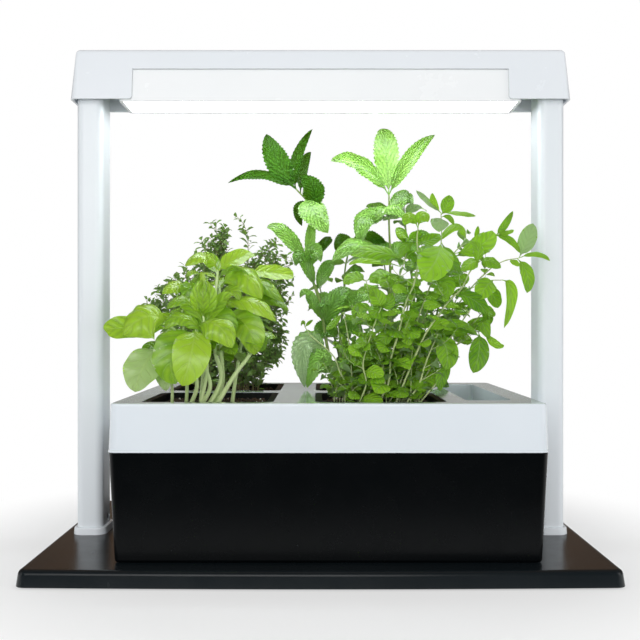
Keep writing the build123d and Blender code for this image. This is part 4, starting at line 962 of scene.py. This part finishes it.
oregano_leaves = plant_leaves("oregano", oregano_lines, """
1 1  428 202 -90  416 190.5 -92  9  0 .7 -.7  -.2 .55
1 1  434 203 -88  432.5 193 -90  7  .1 -1 .1  .3 .9
1 .99  447 205 -84  449 195 -84  14  .2 -.95 .2  .3 .45
1 1  459 213 -82  476 216 -80  9  0 -.6 .8  -.3 .6
1 .98  448 217 -92  454 225 -94  7  0 -.7 .7  .2 .5
1 .97  440 221 -100  439 232 -104  19  0 .9 -.4  .3 .4
0 1  411 217 -106  404 225 -110  15  -.1 -.8 .6  -.3 .75
0 1  422 216 -106  428 222 -110  15  .1 -.8 .6  -.3 .8
0 .93  430 240 -100  440 234 -98  16  .1 -.8 .6  .2 .3
0 .93  407 245 -98  400 256 -96  13  -.1 -.8 .6  -.2 .3
4 .86  457 226 -80  439 241 -86  13  -.1 -.75 .7  -.5 .85
4 .9  477 233 -76  478 226 -78  5  0 -.8 .6  .5 .6
4 .9  480 237 -76  484 232 -78  5  .2 -.8 .5  .5 .5
1 .86  435 262 -126  421 279 -132  36  -.1 -1 .2  .25 .85
1 .86  452 262 -84  460 276 -82  18  .2 -.9 .4  -.2 .3
4 .78  481 245 -88  492 230.5 -92  22  .1 -.95 .35  .2 .75
4 .76  470 250 -66  462 243 -62  14  0 -.7 .7  .3 .3
2 1  490 261 -112  501 268 -114  17  .1 -.75 .65  -.4 .4
2 1  471 263 -112  461 271 -114  16  -.1 -.8 .6  -.4 .5
2 .96  478 250 -112  470 242 -112  12  0 -.8 .6  .2 .5
4 1  504 226 -72  513 211 -72  8  .2 -.9 .3  .5 .35
4 1  508 232 -76  514 230 -78  8  0 -.7 .7  -.3 .6
4 .99  509 240 -74  520 253 -74  9  .2 -.85 .4  .3 .5
5 1  527 240 -68  533 223.5 -68  18  0 .95 -.3  -.3 .35
5 1  537 254 -66  551 261 -66  8  .1 -.7 .7  -.3 .6
5 .99  527 274 -70  527 293 -72  14  .1 -.98 .1  .3 .5
5 .96  514 262 -70  520 266 -72  8  0 -.7 .7  .2 .7
1 .66  446 284 -112  446 299 -116  17  0 -1 .1  .3 .55
1 .66  459 281 -104  464 273 -104  13  .1 -.9 .3  .2 .4
6 .95  486 287 -104  479 300 -108  21  -.1 -.95 .25  .3 .6
6 .9  494 297 -84  498 308 -82  16  .1 -.9 .3  .2 .4
2 .76  474 300 -108  488 315 -106  16  .3 -.8 -.35  .3 0
6 1  511 293 -88  504 328 -90  14  .35 -.9 .1  .5 .8
3 1  447 351 -110  445 370 -112  23  0 -1 .1  .25 .4
7 .95  479 352 -74  473 373 -76  21  .1 -.97 .1  .25 .15
7 1  482 322 -70  489 339 -72  17  .1 -.9 .3  .2 .4
7 1  495 344 -74  504 345 -76  10  0 -.8 .6  .2 .8
7 .9  486 322 -62  491 315 -60  11  0 -.8 .6  .2 .2
2 .5  456 324 -104  478 336 -98  13  0 -.7 .7  .3 .35
3 .95  456 330 -100  474 334 -94  12  0 -.7 .7  .3 .45
17 1  443 374 -104  440 391 -106  13  0 -.97 .2  .2 .2
8 .9  366 315 -114  357 317 -116  9  0 -.6 .8  -.2 .7
8 .9  388 313 -112  396 315 -114  9  0 -.6 .8  -.2 .65
8 .9  384 321 -116  391 323 -118  7  0 -.7 .7  .2 .7
8 1  378 299 -112  370 289 -112  17  -.1 -.95 .3  .2 .55
8 1  388 303 -108  391 293 -108  13  .2 -.9 .3  .2 .4
0 .42  406 336 -112  409 346 -114  16  0 -.95 .25  .4 .8
0 .42  384 338 -112  378 348 -114  15  -.1 -.9 .4  -.3 .5
9 .86  367 259 -98  349 265 -102  13  -.1 -.62 .8  -.55 1
9 .9  374 251 -90  351 256 -92  22  -.1 -.8 .6  -.35 .45
9 .9  410 256 -86  420 262 -84  15  .1 -.8 .6  .2 .5
9 1  402 235 -92  396 228 -94  12  0 -.9 .4  .2 .4
9 1  415 238 -84  421 232 -82  13  .1 -.9 .4  .2 .35
10 1  303 322 -98  300 326 -98  4  0 -.8 .6  .2 .6
10 1  309 323 -98  313 320 -98  4  0 -.8 .6  .2 .4
11 1  334 323 -82  326 330 -84  8  0 -.7 .7  .2 .4
11 1  351 318 -82  356 314 -84  8  0 -.7 .7  .2 .5
""", dice)
for picked, shares, length in (
        ((12, 13, 14, 15, 16, 9), (0.2, 0.3, 0.4, 0.5, 0.6, 0.7, 0.8, 0.9, 0.98), 0.034),
        ((0, 1, 2, 4, 5, 6, 8), (0.1, 0.18, 0.26, 0.34, 0.42, 0.5, 0.58, 0.66), 0.027)):
    oregano_leaves += filler_leaves("oregano", [oregano_lines[i] for i in picked], shares, length,
                                    0.7, dice, (0.3, 1.0))
oregano_stems = [stem(line, 0.0013 if number in (0, 2, 3) else 0.001, 6, (0.34, 0.62, 0.86))
                 for number, line in enumerate(oregano_lines)]

# The young growth round the stems' feet, and thin side shoots with small leaves.
dice = random.Random(5)
low_lines = []
for _ in range(64):
    place = dice.uniform(-48, 50), dice.uniform(-36, 34)
    lean = dice.uniform(-24, 26), dice.uniform(-14, 10), dice.uniform(16, 84)
    low_lines.append(low_shoot("front_right", place, lean))
SMALL_OREGANO = leaf_pair("oregano_small_pair", "oregano_small", 0.017, 0.012, 0.1)
OREGANO_LOOKS = {"Leaf pair": SMALL_OREGANO, "Leaf finish": OREGANO_LEAF,
                 "Stem finish": OREGANO_STEM}
oregano_low = sprigs("oregano_low_growth", low_lines, OREGANO_LOOKS | {
    "Spacing": 0.0095, "Leaf size": 1.0, "Tip size": 0.7, "Bare share": 0.15,
    "Stem radius": 0.0006, "Seed": 3})
side_lines = side_shoots(oregano_lines[:10], (0.42, 0.57, 0.7, 0.8),
                         lambda share: dice.uniform(0.018, 0.034), 0.6, 0.5, dice)
oregano_sides = sprigs("oregano_side_shoots", side_lines, OREGANO_LOOKS | {
    "Spacing": 0.0085, "Leaf size": 0.85, "Tip size": 0.65, "Bare share": 0.25,
    "Stem radius": 0.0005, "Seed": 8})
oregano = mesh_of("oregano_foliage", oregano_leaves, oregano_stems, (OREGANO_LEAF, OREGANO_STEM))
for piece in (oregano, oregano_low, oregano_sides):
    fit(piece, "oregano_plant", "pot_front_right",
        ((-0.0245, 0.2555), (-0.168, -0.0365), (0.1, 0.505)))

# Thyme, back left

thyme_lines = stem_lines("back_left", """
-10 10  222 330 110  218 270 112  216 224 114
6 12  248 330 114  247 290 116  248 262 118
20 12  262 320 110  268 275 112  270 242 112
-24 8  205 320 108  194 288 110  185 268 112
-40 12  190 330 110  172 305 112  158 291 112
-34 14  188 315 112  177 295 114  168 282 114
-18 16  209 295 114  203 270 114  200 254 114
-4 14  228 300 116  229 268 116  224 236 116
12 20  256 310 122  262 280 124  258 256 124
26 14  270 325 114  282 288 114  287 258 114
34 12  266 352 112  272 340 112  278 331 112
34 8  262 368 108  269 362 106  275 354 106
-42 20  178 332 120  160 312 124  150 302 124
-20 28  202 312 132  186 290 134  180 279 134
0 32  238 320 138  240 285 140  240 264 140
18 34  260 330 140  272 302 142  277 284 142
-38 34  184 342 140  168 320 142  157 310 142
8 8  252 340 106  262 310 106  264 290 106
-2 6  235 340 104  238 310 104  236 280 104
-30 6  196 350 104  186 325 102  178 310 102
-12 14  214 300 112  210 262 112  208 241 112
-6 8  224 300 110  222 258 112  220 230 112
16 8  258 310 108  266 275 110  264 252 110
""")
tall_stems = list(thyme_lines)
dice = random.Random(41)
for _ in range(44):
    place = dice.uniform(-46, 32), dice.uniform(2, 42)
    rise = dice.uniform(30, 105)
    lean = dice.uniform(-0.5, 0.3) * rise, dice.uniform(-0.15, 0.25) * rise, rise
    thyme_lines.append(low_shoot("back_left", place, lean))
thyme_lines += side_shoots(
    tall_stems,
    (0.4, 0.46, 0.52, 0.57, 0.62, 0.67, 0.71, 0.75, 0.79, 0.82, 0.85, 0.88, 0.91, 0.94, 0.97),
    lambda share: dice.uniform(0.03, 0.048) * (1.1 - share) + 0.004, 0.5, 0.6, dice)
# The one sprig that stands above the rest grows out of the second stem.
highest = [seen(x, y, 118) for x, y in ((248, 242), (246, 230), (242, 222), (237, 217))]
thyme_lines.append(smooth_line([on_line(tall_stems[1], 0.98)] + highest, 5))
THYME_PAIR = leaf_pair("thyme_pair", "thyme", 0.0132, 0.006, 0.05)
thyme = sprigs("thyme_foliage", thyme_lines, {
    "Leaf pair": THYME_PAIR, "Leaf finish": THYME_LEAF, "Stem finish": THYME_STEM,
    "Spacing": 0.0042, "Leaf size": 1.07, "Tip size": 0.7, "Bare share": 0.12,
    "Stem radius": 0.0006, "Seed": 14})
fit(thyme, "thyme_plant", "pot_back_left", ((-0.248, -0.032), (0.0885, 0.182), (0.1, 0.505)))
for proto in (SMALL_OREGANO, THYME_PAIR):
    bpy.data.objects.remove(proto)

# Compost in the pots

PERLITE = perlite()
SOIL_HALF = 0.0555         # half a bed's side, in metres
RIM_WIDTH = 0.006          # over this much, in metres, a bed falls off towards the pot's wall
BED_STEPS = 44             # cells along a bed's side

grid = np.linspace(-SOIL_HALF, SOIL_HALF, BED_STEPS + 1)
gx, gy = np.meshgrid(grid, grid, indexing="ij")
cells = np.arange((BED_STEPS + 1) ** 2).reshape(BED_STEPS + 1, BED_STEPS + 1)
faces = np.stack([part.ravel() for part in (cells[:-1, :-1], cells[1:, :-1], cells[1:, 1:],
                                            cells[:-1, 1:])], axis=-1).tolist()
rim = np.clip((SOIL_HALF - np.maximum(abs(gx), abs(gy))) / RIM_WIDTH, 0, 1)
for number, pot in enumerate(POTS):
    x, y = POT_MIDDLES[pot]
    relief = (np.sin(gx * 190 + number) * np.cos(gy * 160 + 2 * number)
              + 0.6 * np.sin(gx * 410 + 3 * gy * 170) + 0.4 * np.cos(gy * 520 - gx * 230 + number))
    height = SOIL_TOP - 0.0005 + (0.0016 + 0.0011 * relief) * rim
    points = np.column_stack([(gx + x / 1000).ravel(), (gy + y / 1000).ravel(), height.ravel()])
    mesh = bpy.data.meshes.new("compost_bed_" + pot)
    mesh.from_pydata(points.tolist(), [], faces)
    mesh.materials.append(COMPOST)
    mesh.polygons.foreach_set("use_smooth", [True] * len(mesh.polygons))
    pieces = [new_object("compost_bed_" + pot, mesh)]
    for name, density, largest, smallest, seed, finish in (
            ("compost_crumbs_", 52000.0, 0.0021, 0.0007, number, COMPOST),
            ("perlite_", 5200.0, 0.0017, 0.0008, number + 10, PERLITE)):
        crumbs = run_group(CRUMBS, pieces[0], {
            "Density": density, "Largest": largest, "Smallest": smallest, "Seed": seed,
            "Finish": finish})
        pieces.append(new_object(name + pot, crumbs))
    for piece in pieces:
        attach(piece, "pot_" + pot)

# Floor, light and the end

def pale_floor():
    """A pale studio floor. Away from the object the camera sees plain white, as the backdrop."""
    made, add, place = new_material("studio_floor")
    far = add("ShaderNodeVectorMath", {0: place}, operation="LENGTH")
    fade = add("ShaderNodeMapRange", {
        "Value": far, "From Min": 0.3, "From Max": 0.54, "To Min": 0.45},
        interpolation_type="SMOOTHSTEP")
    rays = add("ShaderNodeLightPath").outputs
    looks = rays["Is Camera Ray"]
    for other in ("Is Glossy Ray", "Is Transmission Ray"):
        looks = add("ShaderNodeMath", {0: looks, 1: rays[other]}, operation="MAXIMUM")
    share = add("ShaderNodeMath", {0: fade, 1: looks}, operation="MULTIPLY")
    # What the object mirrors of the floor in front of it is dark, like that side of the studio.
    axes = add("ShaderNodeSeparateXYZ", {0: place}).outputs
    ahead = add("ShaderNodeMapRange", {
        "Value": axes["Y"], "From Min": -0.21, "From Max": -0.4, "To Min": 0.0, "To Max": 0.96},
        interpolation_type="SMOOTHSTEP")
    dim = add("ShaderNodeMath", {0: ahead, 1: rays["Is Glossy Ray"]}, operation="MULTIPLY")
    share = add("ShaderNodeMath", {0: share, 1: dim}, operation="MAXIMUM")
    strength = add("ShaderNodeMath", {0: 1.0, 1: dim}, operation="SUBTRACT")
    # The floor throws less light back up than it shows, so the posts' feet stay as bright as
    # their heads.
    paper = add("ShaderNodeMix", {
        0: looks, 6: tint("bcbcbc"), 7: tint("fafafa")}, data_type="RGBA")
    matt = add("ShaderNodeBsdfDiffuse", {"Color": paper})
    white = add("ShaderNodeEmission", {"Color": (1, 1, 1, 1), "Strength": strength})
    shade(add, "ShaderNodeMixShader", {0: share, 1: matt, 2: white})
    return made


floor_mesh = bpy.data.meshes.new("floor")
floor_mesh.from_pydata([(-6, -4, 0), (6, -4, 0), (6, 8, 0), (-6, 8, 0)], [], [(0, 1, 2, 3)])
floor_mesh.materials.append(pale_floor())
floor = new_object("floor", floor_mesh)

world = bpy.data.worlds.new("studio")
bpy.context.scene.world = world
world.use_nodes = True
sky = world.node_tree
sky.nodes.clear()
add = partial(add_node, sky)
rays = add("ShaderNodeLightPath").outputs
# The studio is dark on the side that the object faces, so its glossy front stays black.
facing = add("ShaderNodeTexCoord").outputs["Generated"]
ways = add("ShaderNodeSeparateXYZ", {0: facing}).outputs
behind = add("ShaderNodeMapRange", {
    "Value": ways["Y"], "From Min": -0.6, "From Max": 0.2, "To Min": 0.06, "To Max": 0.42})
aside = add("ShaderNodeMath", {0: ways["X"]}, operation="ABSOLUTE")
shaded = add("ShaderNodeMapRange", {
    "Value": aside, "From Min": 0.15, "From Max": 0.4, "To Min": 1.0, "To Max": 0.4})
mirrored = add("ShaderNodeMath", {0: behind, 1: shaded}, operation="MULTIPLY")
filled = add("ShaderNodeMapRange", {
    "Value": ways["Y"], "From Min": -0.7, "From Max": 0.5, "To Min": 0.48, "To Max": 0.47})
lighting = add("ShaderNodeMapRange", {
    "Value": rays["Is Glossy Ray"], "To Min": filled, "To Max": mirrored})
plain = add("ShaderNodeMath", {
    0: rays["Is Camera Ray"], 1: rays["Is Transmission Ray"]}, operation="MAXIMUM")
strength = add("ShaderNodeMapRange", {"Value": plain, "To Min": lighting, "To Max": 1.0})
# Wooden walls stand round the studio: what mirrors them from above is a little brown.
high = add("ShaderNodeMapRange", {"Value": ways["Z"], "From Min": 0.09, "From Max": 0.16})
wooden = add("ShaderNodeMath", {0: high, 1: rays["Is Glossy Ray"]}, operation="MULTIPLY")
walls = add("ShaderNodeMix", {0: wooden, 6: (1, 1, 1, 1), 7: tint("c9a07c")}, data_type="RGBA")
air = add("ShaderNodeBackground", {"Color": walls, "Strength": strength})
add("ShaderNodeOutputWorld", {"Surface": air})


def softbox(name, place, target, size, power, glossy=True):
    """A soft rectangular light. One that isn't glossy shows in no mirror."""
    light = bpy.data.lights.new(name, "AREA")
    light.shape = "RECTANGLE"
    light.size, light.size_y = size
    light.energy = power
    made = new_object(name, light)
    made.location = place
    made.visible_glossy = glossy
    made.rotation_euler = (Vector(target) - Vector(place)).to_track_quat("-Z", "Y").to_euler()


softbox("front_softbox", (-0.35, -2.0, 0.9), (0, 0, 0.28), (1.4, 0.9), 9.8)
softbox("low_softbox", (0, -2.2, 0.3), (0, 0, 0.1), (2.4, 0.4), 14.0, glossy=False)
softbox("right_softbox", (1.7, -0.8, 0.6), (0, 0, 0.2), (0.9, 1.1), 5.0)
softbox("left_softbox", (-1.8, -0.6, 0.6), (0, 0, 0.2), (0.9, 1.1), 2.6)
